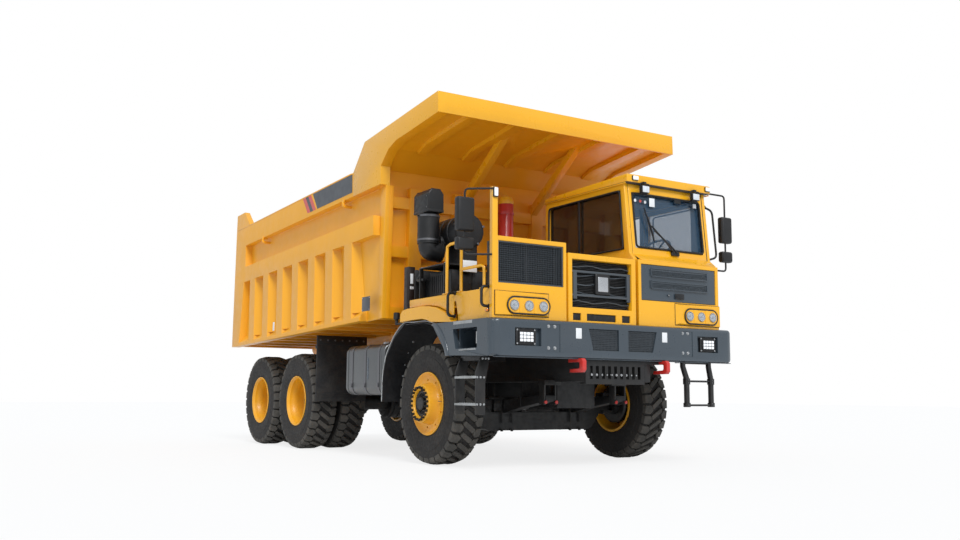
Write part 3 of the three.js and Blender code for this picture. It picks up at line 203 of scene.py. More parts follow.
def addTube(name, points, radius, bend=0.05, sides=3, closed=False):
    deselectAll()
    bpy.ops.curve.primitive_nurbs_path_add()
    piece = bpy.context.active_object
    piece.name = name
    curve = piece.data
    curve.splines.clear()
    path = roundedPath(points, bend) if bend > 0 else [Vector(point) for point in points]
    spline = curve.splines.new("POLY")
    spline.points.add(len(path) - 1)
    for target, point in zip(spline.points, path):
        target.co = (point.x, point.y + axleY, point.z, 1)
    spline.use_cyclic_u = closed
    curve.dimensions = "3D"
    curve.bevel_depth = radius
    curve.bevel_resolution = sides
    curve.use_fill_caps = not closed
    settleCurve(piece)
    smooth(piece, 40)
    return piece


def settleCurve(piece):
    activate(piece)
    bpy.ops.object.convert(target="MESH")
    settle(piece)
    facesOutward(piece)


def copyPiece(piece, name, matrix=None):
    activate(piece)
    bpy.ops.object.duplicate(linked=False)
    copy = bpy.context.active_object
    copy.name = name
    if matrix is not None:
        copy.data.transform(matrix)
        if matrix.determinant() < 0:
            editAll(copy)
            bpy.ops.mesh.flip_normals()
            leaveEdit()
    return copy


acrossX = Matrix.Diagonal((-1, 1, 1, 1))


def shift(x=0, y=0, z=0):
    return Matrix.Translation((x, y, z))


# A turn about a line through a point given from the front axle.
def turn(angle, point, axis):
    centre = Vector(point) + axleShift
    return Matrix.Translation(centre) @ Matrix.Rotation(angle, 4, axis) @ Matrix.Translation(-centre)


def joinPieces(name, pieces):
    deselectAll()
    for piece in pieces:
        piece.select_set(True)
    bpy.context.view_layer.objects.active = pieces[0]
    if len(pieces) > 1:
        bpy.ops.object.join()
    joined = bpy.context.active_object
    joined.name = name
    joined.data.name = name
    return joined


def paint(pieces, finish):
    for piece in pieces if isinstance(pieces, list) else [pieces]:
        piece.data.materials.clear()
        piece.data.materials.append(look[finish])
    return pieces


def cutAway(piece, tools):
    for tool in tools:
        boolean = piece.modifiers.new("cut", "BOOLEAN")
        boolean.operation = "DIFFERENCE"
        boolean.solver = "EXACT"
        boolean.object = tool
    applyModifiers(piece)
    for tool in tools:
        bpy.data.objects.remove(tool, do_unlink=True)
    return piece


def place(piece, body, slotName, replaced=()):
    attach(piece, body)
    if replaced:
        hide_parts(*replaced)
    return piece


def assemble(name, pieces, slotName, replaced=(), body="chassis"):
    return place(joinPieces(name, pieces), body, slotName, replaced)


# A CAD solid's own shape with its flat faces made whole again and its edges rounded.
def eased(node, width, segments=2, angle=30):
    deselectAll()
    source = nodes[node]
    copy = bpy.data.objects.new(node + "_eased", source.data.copy())
    bpy.context.scene.collection.objects.link(copy)
    copy.data.materials.clear()
    for key in list(copy.keys()):
        del copy[key]
    editAll(copy)
    bpy.ops.mesh.remove_doubles(threshold=0.00005)
    bpy.ops.mesh.dissolve_limited(angle_limit=math.radians(0.6))
    leaveEdit()
    bevelEdges(copy, width, segments, angle)
    return copy


# Camera, floor and light.

view = {"at": (-7.6244, -10.6105, 0.8602), "yaw": 0.565, "pitch": 0.1273, "roll": 0.0061, "lens": 36.51}


def addCamera():
    deselectAll()
    bpy.ops.object.camera_add()
    camera = bpy.context.active_object
    camera.name = "camera"
    yaw, pitch, roll = view["yaw"], view["pitch"], view["roll"]
    forward = Vector((math.sin(yaw) * math.cos(pitch), math.cos(yaw) * math.cos(pitch), math.sin(pitch)))
    right = Vector((math.cos(yaw), -math.sin(yaw), 0))
    up = right.cross(forward)
    across = right * math.cos(roll) + up * math.sin(roll)
    upward = up * math.cos(roll) - right * math.sin(roll)
    x, y, z = view["at"]
    turned = Matrix((across, upward, -forward)).transposed().to_4x4()
    camera.matrix_world = Matrix.Translation((x, y + axleY, z)) @ turned
    camera.data.lens = view["lens"]
    camera.data.sensor_width = 36
    camera.data.clip_end = 400
    bpy.context.scene.camera = camera


studio = {
    "floorSize": 160,
    "worldLight": 0.64,
    "worldTint": (0.86, 0.93, 1.0, 1),
    "sunStrength": 2.3,
    "sunTurn": (math.radians(47), 0, math.radians(-20)),
    "sunSize": math.radians(22),
    "floorDim": 0.8,
    "glossShare": 0.35,
}


def newMaterial(name):
    material = bpy.data.materials.new(name)
    material.use_nodes = True
    tree = material.node_tree
    return material, tree, tree.nodes["Principled BSDF"]


def link(tree, source, target):
    tree.links.new(source, target)


def feed(tree, socket, value):
    if isinstance(value, bpy.types.NodeSocket):
        link(tree, value, socket)
    else:
        socket.default_value = value


def mathNode(tree, operation, first, second):
    node = tree.nodes.new("ShaderNodeMath")
    node.operation = operation
    feed(tree, node.inputs[0], first)
    feed(tree, node.inputs[1], second)
    return node.outputs[0]


# Rays that see the surroundings directly, in a mirror or through glass.
def seenDirectly(tree):
    path = tree.nodes.new("ShaderNodeLightPath")
    glossy = mathNode(tree, "MULTIPLY", path.outputs["Is Glossy Ray"], studio["glossShare"])
    direct = mathNode(tree, "MAXIMUM", path.outputs["Is Camera Ray"], glossy)
    return mathNode(tree, "MAXIMUM", direct, path.outputs["Is Transmission Ray"])


def addStudio():
    world = bpy.data.worlds.new("studio")
    bpy.context.scene.world = world
    world.use_nodes = True
    tree = world.node_tree
    tree.nodes.clear()
    output = tree.nodes.new("ShaderNodeOutputWorld")
    light = tree.nodes.new("ShaderNodeBackground")
    light.inputs["Color"].default_value = studio["worldTint"]
    light.inputs["Strength"].default_value = studio["worldLight"]
    white = tree.nodes.new("ShaderNodeBackground")
    white.inputs["Color"].default_value = (1, 1, 1, 1)
    white.inputs["Strength"].default_value = 1
    mix = tree.nodes.new("ShaderNodeMixShader")
    link(tree, seenDirectly(tree), mix.inputs[0])
    link(tree, light.outputs[0], mix.inputs[1])
    link(tree, white.outputs[0], mix.inputs[2])
    link(tree, mix.outputs[0], output.inputs[0])
    deselectAll()
    bpy.ops.object.light_add(type="SUN", rotation=studio["sunTurn"])
    sun = bpy.context.active_object
    sun.name = "key_light"
    sun.data.energy = studio["sunStrength"]
    sun.data.angle = studio["sunSize"]
    bpy.ops.mesh.primitive_plane_add(size=studio["floorSize"], location=(0, 0, 0))
    floor = bpy.context.active_object
    floor.name = "floor"
    material, tree, shader = newMaterial("pale_floor")
    shader.inputs["Base Color"].default_value = (0.86, 0.86, 0.86, 1)
    shader.inputs["Roughness"].default_value = 0.9
    shader.inputs["Specular IOR Level"].default_value = 0.1
    glow = tree.nodes.new("ShaderNodeEmission")
    glow.inputs["Color"].default_value = (1, 1, 1, 1)
    glow.inputs["Strength"].default_value = 1
    amount = mathNode(tree, "MULTIPLY", seenDirectly(tree), studio["floorDim"])
    mix = tree.nodes.new("ShaderNodeMixShader")
    link(tree, amount, mix.inputs[0])
    link(tree, shader.outputs[0], mix.inputs[1])
    link(tree, glow.outputs[0], mix.inputs[2])
    link(tree, mix.outputs[0], tree.nodes["Material Output"].inputs["Surface"])
    floor.data.materials.append(material)
    floor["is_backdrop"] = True


bpy.context.scene.view_settings.view_transform = "Standard"
addCamera()
addStudio()
print("camera and studio set")


# Materials, all on Object coordinates.

def noise(tree, scale, detail=3, stretch=None, offset=(0, 0, 0)):
    coordinates = tree.nodes.new("ShaderNodeTexCoord")
    mapping = tree.nodes.new("ShaderNodeMapping")
    mapping.inputs["Scale"].default_value = stretch or (1, 1, 1)
    mapping.inputs["Location"].default_value = offset
    link(tree, coordinates.outputs["Object"], mapping.inputs["Vector"])
    texture = tree.nodes.new("ShaderNodeTexNoise")
    texture.inputs["Scale"].default_value = scale
    texture.inputs["Detail"].default_value = detail
    link(tree, mapping.outputs["Vector"], texture.inputs["Vector"])
    return texture.outputs["Fac"]


def spread(tree, value, low, high, fromLow=0.3, fromHigh=0.7):
    node = tree.nodes.new("ShaderNodeMapRange")
    node.inputs["From Min"].default_value = fromLow
    node.inputs["From Max"].default_value = fromHigh
    node.inputs["To Min"].default_value = low
    node.inputs["To Max"].default_value = high
    link(tree, value, node.inputs["Value"])
    return node.outputs["Result"]


def blendColour(tree, factor, first, second):
    node = tree.nodes.new("ShaderNodeMix")
    node.data_type = "RGBA"
    link(tree, factor, node.inputs["Factor"])
    for socket, value in ((node.inputs[6], first), (node.inputs[7], second)):
        feed(tree, socket, (*value, 1) if isinstance(value, tuple) else value)
    return node.outputs[2]


def bump(tree, height, distance, strength=1.0, below=None):
    node = tree.nodes.new("ShaderNodeBump")
    node.inputs["Strength"].default_value = strength
    node.inputs["Distance"].default_value = distance
    link(tree, height, node.inputs["Height"])
    if below:
        link(tree, below, node.inputs["Normal"])
    return node.outputs["Normal"]


# How much a face looks up, where dust settles, broken up by a coarse noise.
def dustFactor(tree, amount, lowDirt=0.0):
    geometry = tree.nodes.new("ShaderNodeNewGeometry")
    split = tree.nodes.new("ShaderNodeSeparateXYZ")
    link(tree, geometry.outputs["Normal"], split.inputs[0])
    up = spread(tree, split.outputs["Z"], 0, amount, 0.5, 1.0)
    patch = mathNode(tree, "MULTIPLY", up, spread(tree, noise(tree, 3.2, 5), 0.35, 1.0))
    if not lowDirt:
        return patch
    coordinates = tree.nodes.new("ShaderNodeTexCoord")
    height = tree.nodes.new("ShaderNodeSeparateXYZ")
    link(tree, coordinates.outputs["Object"], height.inputs[0])
    low = spread(tree, height.outputs["Z"], lowDirt, 0, 0.1, 1.5)
    mottled = mathNode(tree, "MULTIPLY", low, spread(tree, noise(tree, 7, 6), 0, 1))
    total = mathNode(tree, "ADD", patch, mottled)
    total.node.use_clamp = True
    return total


dustColour = (0.3, 0.25, 0.19)


# Sprayed paint: a slow drift of tone, a little orange peel, and dust where it can lie.
def paintMaterial(name, colour, roughness=0.34, coat=0.35, dust=0.12, lowDirt=0.0, drift=0.08,
        peel=0.0004, metallic=0.0):
    material, tree, shader = newMaterial(name)
    darker = tuple(c * (1 - drift) for c in colour)
    lighter = tuple(min(1, c * (1 + drift)) for c in colour)
    toned = blendColour(tree, spread(tree, noise(tree, 1.6, 4), 0, 1), darker, lighter)
    dusty = blendColour(tree, dustFactor(tree, dust, lowDirt), toned, dustColour)
    link(tree, dusty, shader.inputs["Base Color"])
    link(tree, spread(tree, noise(tree, 9, 5), roughness * 0.82, roughness * 1.25), shader.inputs["Roughness"])
    link(tree, bump(tree, noise(tree, 90, 2), peel, 0.5), shader.inputs["Normal"])
    shader.inputs["Coat Weight"].default_value = coat
    shader.inputs["Coat Roughness"].default_value = 0.12
    shader.inputs["Metallic"].default_value = metallic
    return material


# Moulded rubber: brown-black, finely grained, with dried dirt in patches.
def rubberMaterial(name, colour=(0.023, 0.021, 0.02), dirt=(0.06, 0.053, 0.046), amount=0.35):
    material, tree, shader = newMaterial(name)
    patch = spread(tree, noise(tree, 6, 6), 0, amount, 0.42, 0.75)
    link(tree, blendColour(tree, patch, colour, dirt), shader.inputs["Base Color"])
    link(tree, spread(tree, noise(tree, 30, 4), 0.62, 0.92), shader.inputs["Roughness"])
    link(tree, bump(tree, noise(tree, 160, 4), 0.0012, 0.6), shader.inputs["Normal"])
    shader.inputs["Specular IOR Level"].default_value = 0.35
    return material


# Cast or rough painted steel.
def castMaterial(name, colour, roughness=0.62, grain=70, depth=0.0015, metallic=0.25, dust=0.25, lowDirt=0.35):
    material, tree, shader = newMaterial(name)
    toned = blendColour(tree, spread(tree, noise(tree, 4, 6), 0, 1), tuple(c * 0.7 for c in colour),
        tuple(c * 1.35 for c in colour))
    link(tree, blendColour(tree, dustFactor(tree, dust, lowDirt), toned, dustColour), shader.inputs["Base Color"])
    link(tree, spread(tree, noise(tree, 22, 4), roughness * 0.8, min(1, roughness * 1.3)),
        shader.inputs["Roughness"])
    link(tree, bump(tree, noise(tree, grain, 5), depth, 0.6), shader.inputs["Normal"])
    shader.inputs["Metallic"].default_value = metallic
    return material


# Bare metal drawn or brushed along one direction.
def brushedMaterial(name, colour, roughness=0.3, stretch=(1, 1, 30), scale=14):
    material, tree, shader = newMaterial(name)
    streak = noise(tree, scale, 5, stretch)
    link(tree, blendColour(tree, spread(tree, streak, 0, 1), tuple(c * 0.82 for c in colour), colour),
        shader.inputs["Base Color"])
    link(tree, spread(tree, streak, roughness * 0.75, roughness * 1.4), shader.inputs["Roughness"])
    link(tree, bump(tree, streak, 0.0005, 0.35), shader.inputs["Normal"])
    shader.inputs["Metallic"].default_value = 1
    return material


def glassMaterial(name, colour, alpha):
    material, tree, shader = newMaterial(name)
    film = spread(tree, noise(tree, 2.5, 3), 0.02, 0.07)
    link(tree, film, shader.inputs["Roughness"])
    shader.inputs["Base Color"].default_value = (*colour, 1)
    shader.inputs["Alpha"].default_value = alpha
    shader.inputs["Specular IOR Level"].default_value = 0.7
    shader.inputs["Coat Weight"].default_value = 0.6
    shader.inputs["Coat Roughness"].default_value = 0.02
    return material


def lampMaterial(name, colour, roughness=0.12, metallic=0.0, glow=0.0):
    material, tree, shader = newMaterial(name)
    ribs = noise(tree, 120, 1, (1, 0.05, 0.05))
    link(tree, blendColour(tree, spread(tree, ribs, 0, 1), tuple(c * 0.85 for c in colour), colour),
        shader.inputs["Base Color"])
    link(tree, bump(tree, ribs, 0.0006, 0.5), shader.inputs["Normal"])
    shader.inputs["Roughness"].default_value = roughness
    shader.inputs["Metallic"].default_value = metallic
    shader.inputs["Coat Weight"].default_value = 0.8
    shader.inputs["Emission Color"].default_value = (*colour, 1)
    shader.inputs["Emission Strength"].default_value = glow
    return material


def fabricMaterial(name, colour):
    material, tree, shader = newMaterial(name)
    weave = noise(tree, 420, 2)
    link(tree, blendColour(tree, weave, tuple(c * 0.7 for c in colour), tuple(c * 1.3 for c in colour)),
        shader.inputs["Base Color"])
    link(tree, bump(tree, weave, 0.0008, 0.7), shader.inputs["Normal"])
    shader.inputs["Roughness"].default_value = 0.85
    shader.inputs["Sheen Weight"].default_value = 0.4
    return material


yellow = (0.84, 0.405, 0.01)
look = {
    "yellowPaint": paintMaterial("yellow_paint", yellow, 0.3, 0.3, 0.03, drift=0.03, peel=0.0001),
    "bedPaint": paintMaterial("body_yellow_paint", (0.82, 0.375, 0.014), 0.4, 0.15, 0.03, drift=0.03, peel=0.0),
    # A darker, more orange copy of the yellow paint: painted shade for the headboard, the bed floor and the
    # canopy's underside.
    "paintedShadeYellow": paintMaterial("shaded_yellow_paint", (0.8, 0.325, 0.004), 0.42, 0.12, 0.02, drift=0.03, peel=0.0),
    "wheelPaint": paintMaterial("wheel_yellow_paint", (0.86, 0.4, 0.006), 0.42, 0.15, 0.08, 0.15),
    "greyPaint": paintMaterial("bumper_grey_paint", (0.04, 0.054, 0.068), 0.3, 0.35, 0.04, drift=0.06),
    "grilleGrey": paintMaterial("grille_grey_paint", (0.05, 0.06, 0.07), 0.42, 0.15, 0.08),
    "blackSteel": castMaterial("black_steel_paint", (0.0075, 0.0075, 0.008), 0.42, 50, 0.0006, 0.1, 0.05, 0.1),
    "blackPlastic": castMaterial("black_moulded_plastic", (0.008, 0.008, 0.009), 0.45, 240, 0.0004, 0.0, 0.05, 0.0),
    # Black rubber for seals and liners, also used for sheets of painted shade behind the headlamp bezels and in the
    # grille's low slots.
    "sealAndShadeBlack": castMaterial("black_seal_and_painted_shade", (0.01, 0.01, 0.01), 0.72, 200, 0.0003, 0.0, 0.04, 0.0),
    "tyre": rubberMaterial("tyre_rubber"),
    "flap": rubberMaterial("mudflap_rubber", (0.016, 0.016, 0.017), (0.07, 0.062, 0.052), 0.35),
    "cast": castMaterial("cast_iron_paint", (0.009, 0.0095, 0.0105), 0.5, 70, 0.0012, 0.2, 0.05, 0.06),
    "spring": castMaterial("spring_steel", (0.014, 0.0135, 0.0135), 0.5, 120, 0.0008, 0.4, 0.05, 0.06),
    "redPaint": paintMaterial("red_paint", (0.56, 0.025, 0.018), 0.33, 0.35, 0.08),
    "chrome": brushedMaterial("hard_chrome", (0.75, 0.76, 0.78), 0.13, (8, 8, 0.5), 40),
    "tankSteel": brushedMaterial("brushed_tank_steel", (0.17, 0.175, 0.178), 0.36, (14, 14, 1), 20),
    "zinc": brushedMaterial("zinc_plated_steel", (0.56, 0.57, 0.58), 0.36, (3, 3, 3), 30),
    "boltSteel": brushedMaterial("dark_bolt_steel", (0.19, 0.19, 0.2), 0.42, (3, 3, 3), 60),
    "clearGlass": glassMaterial("clear_safety_glass", (0.05, 0.105, 0.175), 0.36),
    "tintGlass": glassMaterial("tinted_glass", (0.035, 0.022, 0.014), 0.8),
    "mirrorGlass": brushedMaterial("mirror_glass", (0.62, 0.65, 0.68), 0.03, (1, 1, 1), 3),
    "lampSilver": lampMaterial("lamp_reflector", (0.34, 0.35, 0.37), 0.16, 0.9),
    "lampLens": lampMaterial("lamp_lens", (0.72, 0.75, 0.78), 0.08),
    "lampWhite": lampMaterial("lamp_white", (0.86, 0.88, 0.9), 0.25, 0.0, 0.25),
    "amberLens": lampMaterial("amber_lens", (0.8, 0.22, 0.01), 0.15),
    "seatCloth": fabricMaterial("seat_cloth", (0.035, 0.038, 0.045)),
    "whiteDecal": paintMaterial("white_film", (0.74, 0.75, 0.76), 0.4, 0.1, 0.05),
    "decalRed": paintMaterial("red_film", (0.62, 0.075, 0.055), 0.38, 0.2, 0.05),
    "decalDark": paintMaterial("dark_film", (0.04, 0.046, 0.056), 0.38, 0.2, 0.05),
    "stepMetal": castMaterial("step_tread_steel", (0.36, 0.37, 0.37), 0.5, 160, 0.0008, 0.5, 0.1, 0.0),
    "grilleCore": castMaterial("radiator_core", (0.03, 0.031, 0.033), 0.6, 200, 0.0004, 0.2, 0.1, 0.0),
    "plateSilver": brushedMaterial("blank_plate_silver", (0.6, 0.61, 0.63), 0.3, (20, 2, 2), 30),
    "treadTop": rubberMaterial("worn_tread_rubber", (0.06, 0.056, 0.05), (0.15, 0.132, 0.11), 0.5),
    "lampClear": glassMaterial("lamp_clear_cover", (0.75, 0.8, 0.85), 0.22),
    "cabinetBrown": castMaterial("brown_black_cabinet", (0.02, 0.013, 0.011), 0.45, 120, 0.0005, 0.1, 0.08, 0.0),
    "innerGrey": castMaterial("cab_trim", (0.07, 0.072, 0.075), 0.7, 180, 0.0005, 0.0, 0.05, 0.0),
}
slotLook = {
    "yellow_paint": "yellowPaint", "dark_grey_paint": "greyPaint", "black_steel": "blackSteel", "tyre": "tyre",
    "wheel_paint": "wheelPaint", "red_paint": "redPaint", "hoist_chrome": "chrome", "tank_steel": "tankSteel",
    "cast": "cast", "glass": "clearGlass", "lamp_lens": "lampLens", "seat_fabric": "seatCloth",
    "black_plastic": "blackPlastic",
}
for part in frame["record"]["subparts"]:
    paint(nodes[part["node"]], slotLook[part["material_slot"]])
paint(nodes["mudflaps"], "flap")
paint(nodes["cab_side_glass"], "tintGlass")
print("materials made:", len(look))


# Wheels and tyres.

tyre = {
    "radius": 0.7465, "half": 0.205, "bead": 0.3745, "void": 0.712, "crown": 0.105, "lugCount": 32,
    "frontX": 1.471, "outerX": 1.562, "innerX": 1.077, "z": 0.7465,
    "midY": 4.07, "rearY": 5.7,
}


# Copies a piece round an axis inside its own mesh.
def ringOf(piece, count, centre, axis="X"):
    centre = Vector(centre) + axleShift
    editAll(piece)
    for step in range(count - 1):
        bpy.ops.mesh.duplicate()
        bpy.ops.transform.rotate(value=2 * math.pi / count, orient_axis=axis, center_override=centre)
    bpy.ops.mesh.select_all(action="DESELECT")
    leaveEdit()
    return piece


# One tread block, drawn flat as (across, round) and wrapped on to the tyre.
def addLug(name, outline, centre, turned=0.0):
    piece = addProfile(name, outline, "z", 0.69, tyre["radius"], 0)
    centre = Vector(centre) + axleShift
    for vertex in piece.data.vertices:
        across, along, radius = vertex.co.x, vertex.co.y - axleY, vertex.co.z
        edge = max(0, abs(across) - 0.12)
        radius -= tyre["crown"] * across ** 2 + 3.6 * edge ** 2
        if vertex.co.z > 0.7:
            across *= 0.97
            along *= 0.95
        angle = along / tyre["radius"] + turned
        vertex.co = centre + Vector((across, radius * math.sin(angle), radius * math.cos(angle)))
    facesOutward(piece)
    bevelEdges(piece, 0.004, 1)
    return piece


def addTyre(name, x, y):
    centre = (x, y, tyre["z"])
    half, bead, void = tyre["half"], tyre["bead"], tyre["void"]
    side = [(0.15, bead), (0.172, bead + 0.004), (0.181, 0.392), (0.19, 0.425), (0.1995, 0.475), (half, 0.535),
        (half, 0.575), (0.202, 0.578), (0.2005, 0.62), (0.197, 0.655), (0.193, 0.676), (0.183, 0.694),
        (0.16, 0.702), (0.11, 0.709), (0.05, void)]
    section = side + [(-across, radius) for across, radius in reversed(side)]
    carcass = addTurned(name, section, centre, "x", 72, 40)
    step = 2 * math.pi * tyre["radius"] / tyre["lugCount"]
    block, lug = 0.41 * step, []
    shoulder = [(0.198, -block), (0.198, block), (0.116, block), (0.074, 0.012), (0.108, -block)]
    lug.append(addLug("shoulder_lug", shoulder, centre))
    mirrored = [(-a, -b) for a, b in shoulder]
    lug.append(addLug("shoulder_lug_in", mirrored, centre, 0.5 * step / tyre["radius"]))
    centreBlock = [(-0.092, -0.088), (-0.06, -0.105), (0.092, 0.01), (0.088, 0.044),
        (0.06, 0.062), (-0.092, -0.048)]
    lug.append(addLug("centre_lug", centreBlock, centre, 0.22 * step / tyre["radius"]))
    tread = ringOf(joinPieces(name + "_tread", lug), tyre["lugCount"], centre)
    paint(carcass, "tyre")
    paint(tread, "treadTop")
    return joinPieces(name, [carcass, tread])


boltCircle = {"studs": 22, "studRing": 0.198, "nutRadius": 0.0165}


def addStuds(name, count, ring, start, reach, centre, radius):
    x, y, z = centre
    nut = addRound(name, radius, start, start + reach * 0.6, (x, y, z + ring), "x", 6, 0.003)
    stud = addRound(name + "_end", radius * 0.5, start, start + reach, (x, y, z + ring), "x", 8, 0.002)
    return ringOf(joinPieces(name, [nut, stud]), count, centre)


# Flange, gutter, dished disc and hub ring of a steered wheel, with its nuts and dark hub.
def addFrontRim(x, y):
    centre = (x, y, tyre["z"])
    section = [(0.178, 0.386), (0.188, 0.39), (0.1955, 0.386), (0.1955, 0.378), (0.187, 0.372), (0.18, 0.362),
        (0.17, 0.352), (0.16, 0.34), (0.152, 0.318), (0.152, 0.29), (0.162, 0.262), (0.19, 0.244),
        (0.262, 0.238), (0.284, 0.234), (0.29, 0.226), (0.29, 0.17), (0.284, 0.166), (0.23, 0.165),
        (0.13, 0.165), (0.112, 0.24), (0.11, 0.335), (-0.155, 0.345), (-0.186, 0.352), (-0.1945, 0.362),
        (-0.1945, 0.384), (-0.188, 0.388), (-0.176, 0.386), (-0.166, 0.374), (-0.15, 0.3715), (0.15, 0.3715),
        (0.166, 0.374)]
    disc = addTurned("rim_disc", section, centre, "x", 96, 34)
    holes = ringOf(addRound("hand_hole", 0.015, 0.05, 0.25, (x, y + 0.295, tyre["z"]), "x", 16), 9, centre)
    disc = cutAway(disc, [holes])
    smooth(disc, 34)
    paint(disc, "wheelPaint")
    hub = addTurned("hub_centre",
        [(0.1, 0), (0.1, 0.1645), (0.262, 0.1645), (0.268, 0.15), (0.262, 0.128), (0.246, 0.118),
        (0.246, 0.085), (0.284, 0.082), (0.294, 0.074), (0.296, 0.0)], centre, "x", 48)
    back = addTurned("hub_back", [(-0.06, 0.096), (-0.06, 0.15), (0.1, 0.163), (0.1, 0.096)], centre, "x", 40)
    studs = addStuds("wheel_nut", boltCircle["studs"], boltCircle["studRing"], 0.288, 0.05, centre,
        boltCircle["nutRadius"])
    inner = addStuds("hub_bolt", 12, 0.104, 0.244, 0.022, centre, 0.011)
    paint([hub, back, studs, inner], "blackSteel")
    valve = addTube("valve",
        [(x + 0.145, y - 0.31, tyre["z"] + 0.03), (x + 0.21, y - 0.305, tyre["z"] + 0.03)], 0.006, 0)
    paint(valve, "zinc")
    return joinPieces("wheel_front_left", [disc, hub, back, studs, inner, valve])


def addTwinRim(x, y):
    centre = (x, y, tyre["z"])
    section = [(0.42, 0.386), (0.43, 0.39), (0.437, 0.386), (0.437, 0.377), (0.428, 0.369), (0.41, 0.362),
        (0.396, 0.352), (0.34, 0.349), (0.33, 0.343), (0.25, 0.341), (0.17, 0.336), (0.145, 0.322),
        (0.133, 0.296), (0.132, 0.245), (0.12, 0.24), (0.118, 0.345), (-0.4, 0.35), (-0.437, 0.36),
        (-0.437, 0.386), (-0.428, 0.388), (-0.416, 0.3745), (0.408, 0.3745)]
    rim = addTurned("twin_rim", section, centre, "x", 80, 32)
    face = addTurned("twin_face",
        [(0.118, 0.118), (0.118, 0.246), (0.134, 0.246), (0.14, 0.238), (0.14, 0.122)], centre, "x", 64)
    paint([rim, face], "wheelPaint")
    hub = addTurned("twin_hub",
        [(-0.2, 0.1195), (-0.2, 0.188), (0.08, 0.188), (0.1, 0.15), (0.176, 0.146), (0.196, 0.138),
        (0.232, 0.128), (0.24, 0.118), (0.24, 0.0), (0.214, 0.0), (0.214, 0.1195)], centre, "x", 48)
    studs = addStuds("twin_nut", 20, 0.196, 0.138, 0.05, centre, 0.0165)
    cover = addStuds("cover_bolt", 12, 0.098, 0.238, 0.014, centre, 0.01)
    paint([hub, studs, cover], "blackSteel")
    return joinPieces("wheel_twin", [rim, face, hub, studs, cover])


frontTyre = addTyre("tyre_front_left_tread", tyre["frontX"], 0)
frontRim = addFrontRim(tyre["frontX"], 0)
twinTyre = copyPiece(frontTyre, "twin_tyre", shift(tyre["outerX"] - tyre["frontX"]))
twinInner = copyPiece(frontTyre, "twin_tyre_inner",
    shift(tyre["innerX"] - tyre["frontX"]) @ turn(0.05, (0, 0, tyre["z"]), "X"))
twinTyres = joinPieces("tyres_twin", [twinTyre, twinInner])
twinRim = addTwinRim((tyre["outerX"] + tyre["innerX"]) / 2, 0)
for side, mirror in (("left", Matrix.Identity(4)), ("right", acrossX)):
    for end, y in (("mid", tyre["midY"]), ("rear", tyre["rearY"])):
        node = f"twin_wheel_{end}_{side}"
        carrier = bodyOf[node]
        rolled = turn(0.13 if end == "mid" else 0.31, (0, y, tyre["z"]), "X")
        rubber = copyPiece(twinTyres, f"tyres_{end}_{side}", mirror @ rolled @ shift(y=y))
        place(rubber, carrier, "tyre", [node])
        place(copyPiece(twinRim, f"wheels_{end}_{side}", mirror @ rolled @ shift(y=y)), carrier, "wheel_paint")
for piece in (twinTyres, twinRim):
    bpy.data.objects.remove(piece, do_unlink=True)
place(copyPiece(frontTyre, "tyre_front_right_tread", acrossX), bodyOf["tyre_front_right"],
    "tyre", ["tyre_front_right"])
place(copyPiece(frontRim, "wheel_front_right", acrossX), bodyOf["rim_front_right"],
    "wheel_paint", ["rim_front_right"])
place(frontTyre, bodyOf["tyre_front_left"], "tyre", ["tyre_front_left"])
place(frontRim, bodyOf["rim_front_left"], "wheel_paint", ["rim_front_left"])
print("wheels made")


# Front bumper, guard and steps.

def selectEdges(piece, test):
    activate(piece)
    bpy.ops.object.mode_set(mode="EDIT")
    bpy.ops.mesh.select_all(action="DESELECT")
    leaveEdit()
    points = [vertex.co - axleShift for vertex in piece.data.vertices]
    for edge in piece.data.edges:
        a, b = (points[index] for index in edge.vertices)
        edge.select = test(a, b)
    bpy.ops.object.mode_set(mode="EDIT")
    bpy.ops.mesh.select_mode(type="EDGE")


# A CAD solid's copy with some chosen edges rounded more than the rest.
def easedMore(node, width, wide, steps, test):
    piece = eased(node, 0)
    selectEdges(piece, test)
    bpy.ops.mesh.bevel(offset=wide, segments=steps, affect="EDGES")
    leaveEdit()
    bevelEdges(piece, width, 2)
    return piece


def mirrored(pieces):
    return [copyPiece(piece, piece.name + "_other", acrossX) for piece in pieces]


def upright(a, b):
    return abs(a.x - b.x) < 0.001 and abs(a.y - b.y) < 0.001


# A hexagon-headed bolt whose axis is one of the frame's, its head towards the sign of reach.
def addBolt(name, at, axis, reach, radius=0.011):
    head = addRound(name, radius, 0, reach, at, axis, 6, radius * 0.2)
    washer = addRound(name + "_washer", radius * 1.45, 0, reach * 0.25, at, axis, 16, 0.001)
    return joinPieces(name, [head, washer])


def addBolts(name, places, axis, reach, radius=0.011):
    first = addBolt(name, places[0], axis, reach, radius)
    rest = [copyPiece(first, name + "_next", shift(*(Vector(spot) - Vector(places[0])))) for spot in places[1:]]
    return joinPieces(name, [first] + rest)


bumper = {
    "front": -1.773,
    "ventTop": 1.624, "ventBottom": 1.376, "wire": 0.0035, "wirePitch": 0.021,
    "ventInner": 0.078, "ventOuterLow": 0.458, "ventOuterHigh": 0.521,
    "lampX": 1.402, "lampZ": 1.5,
}


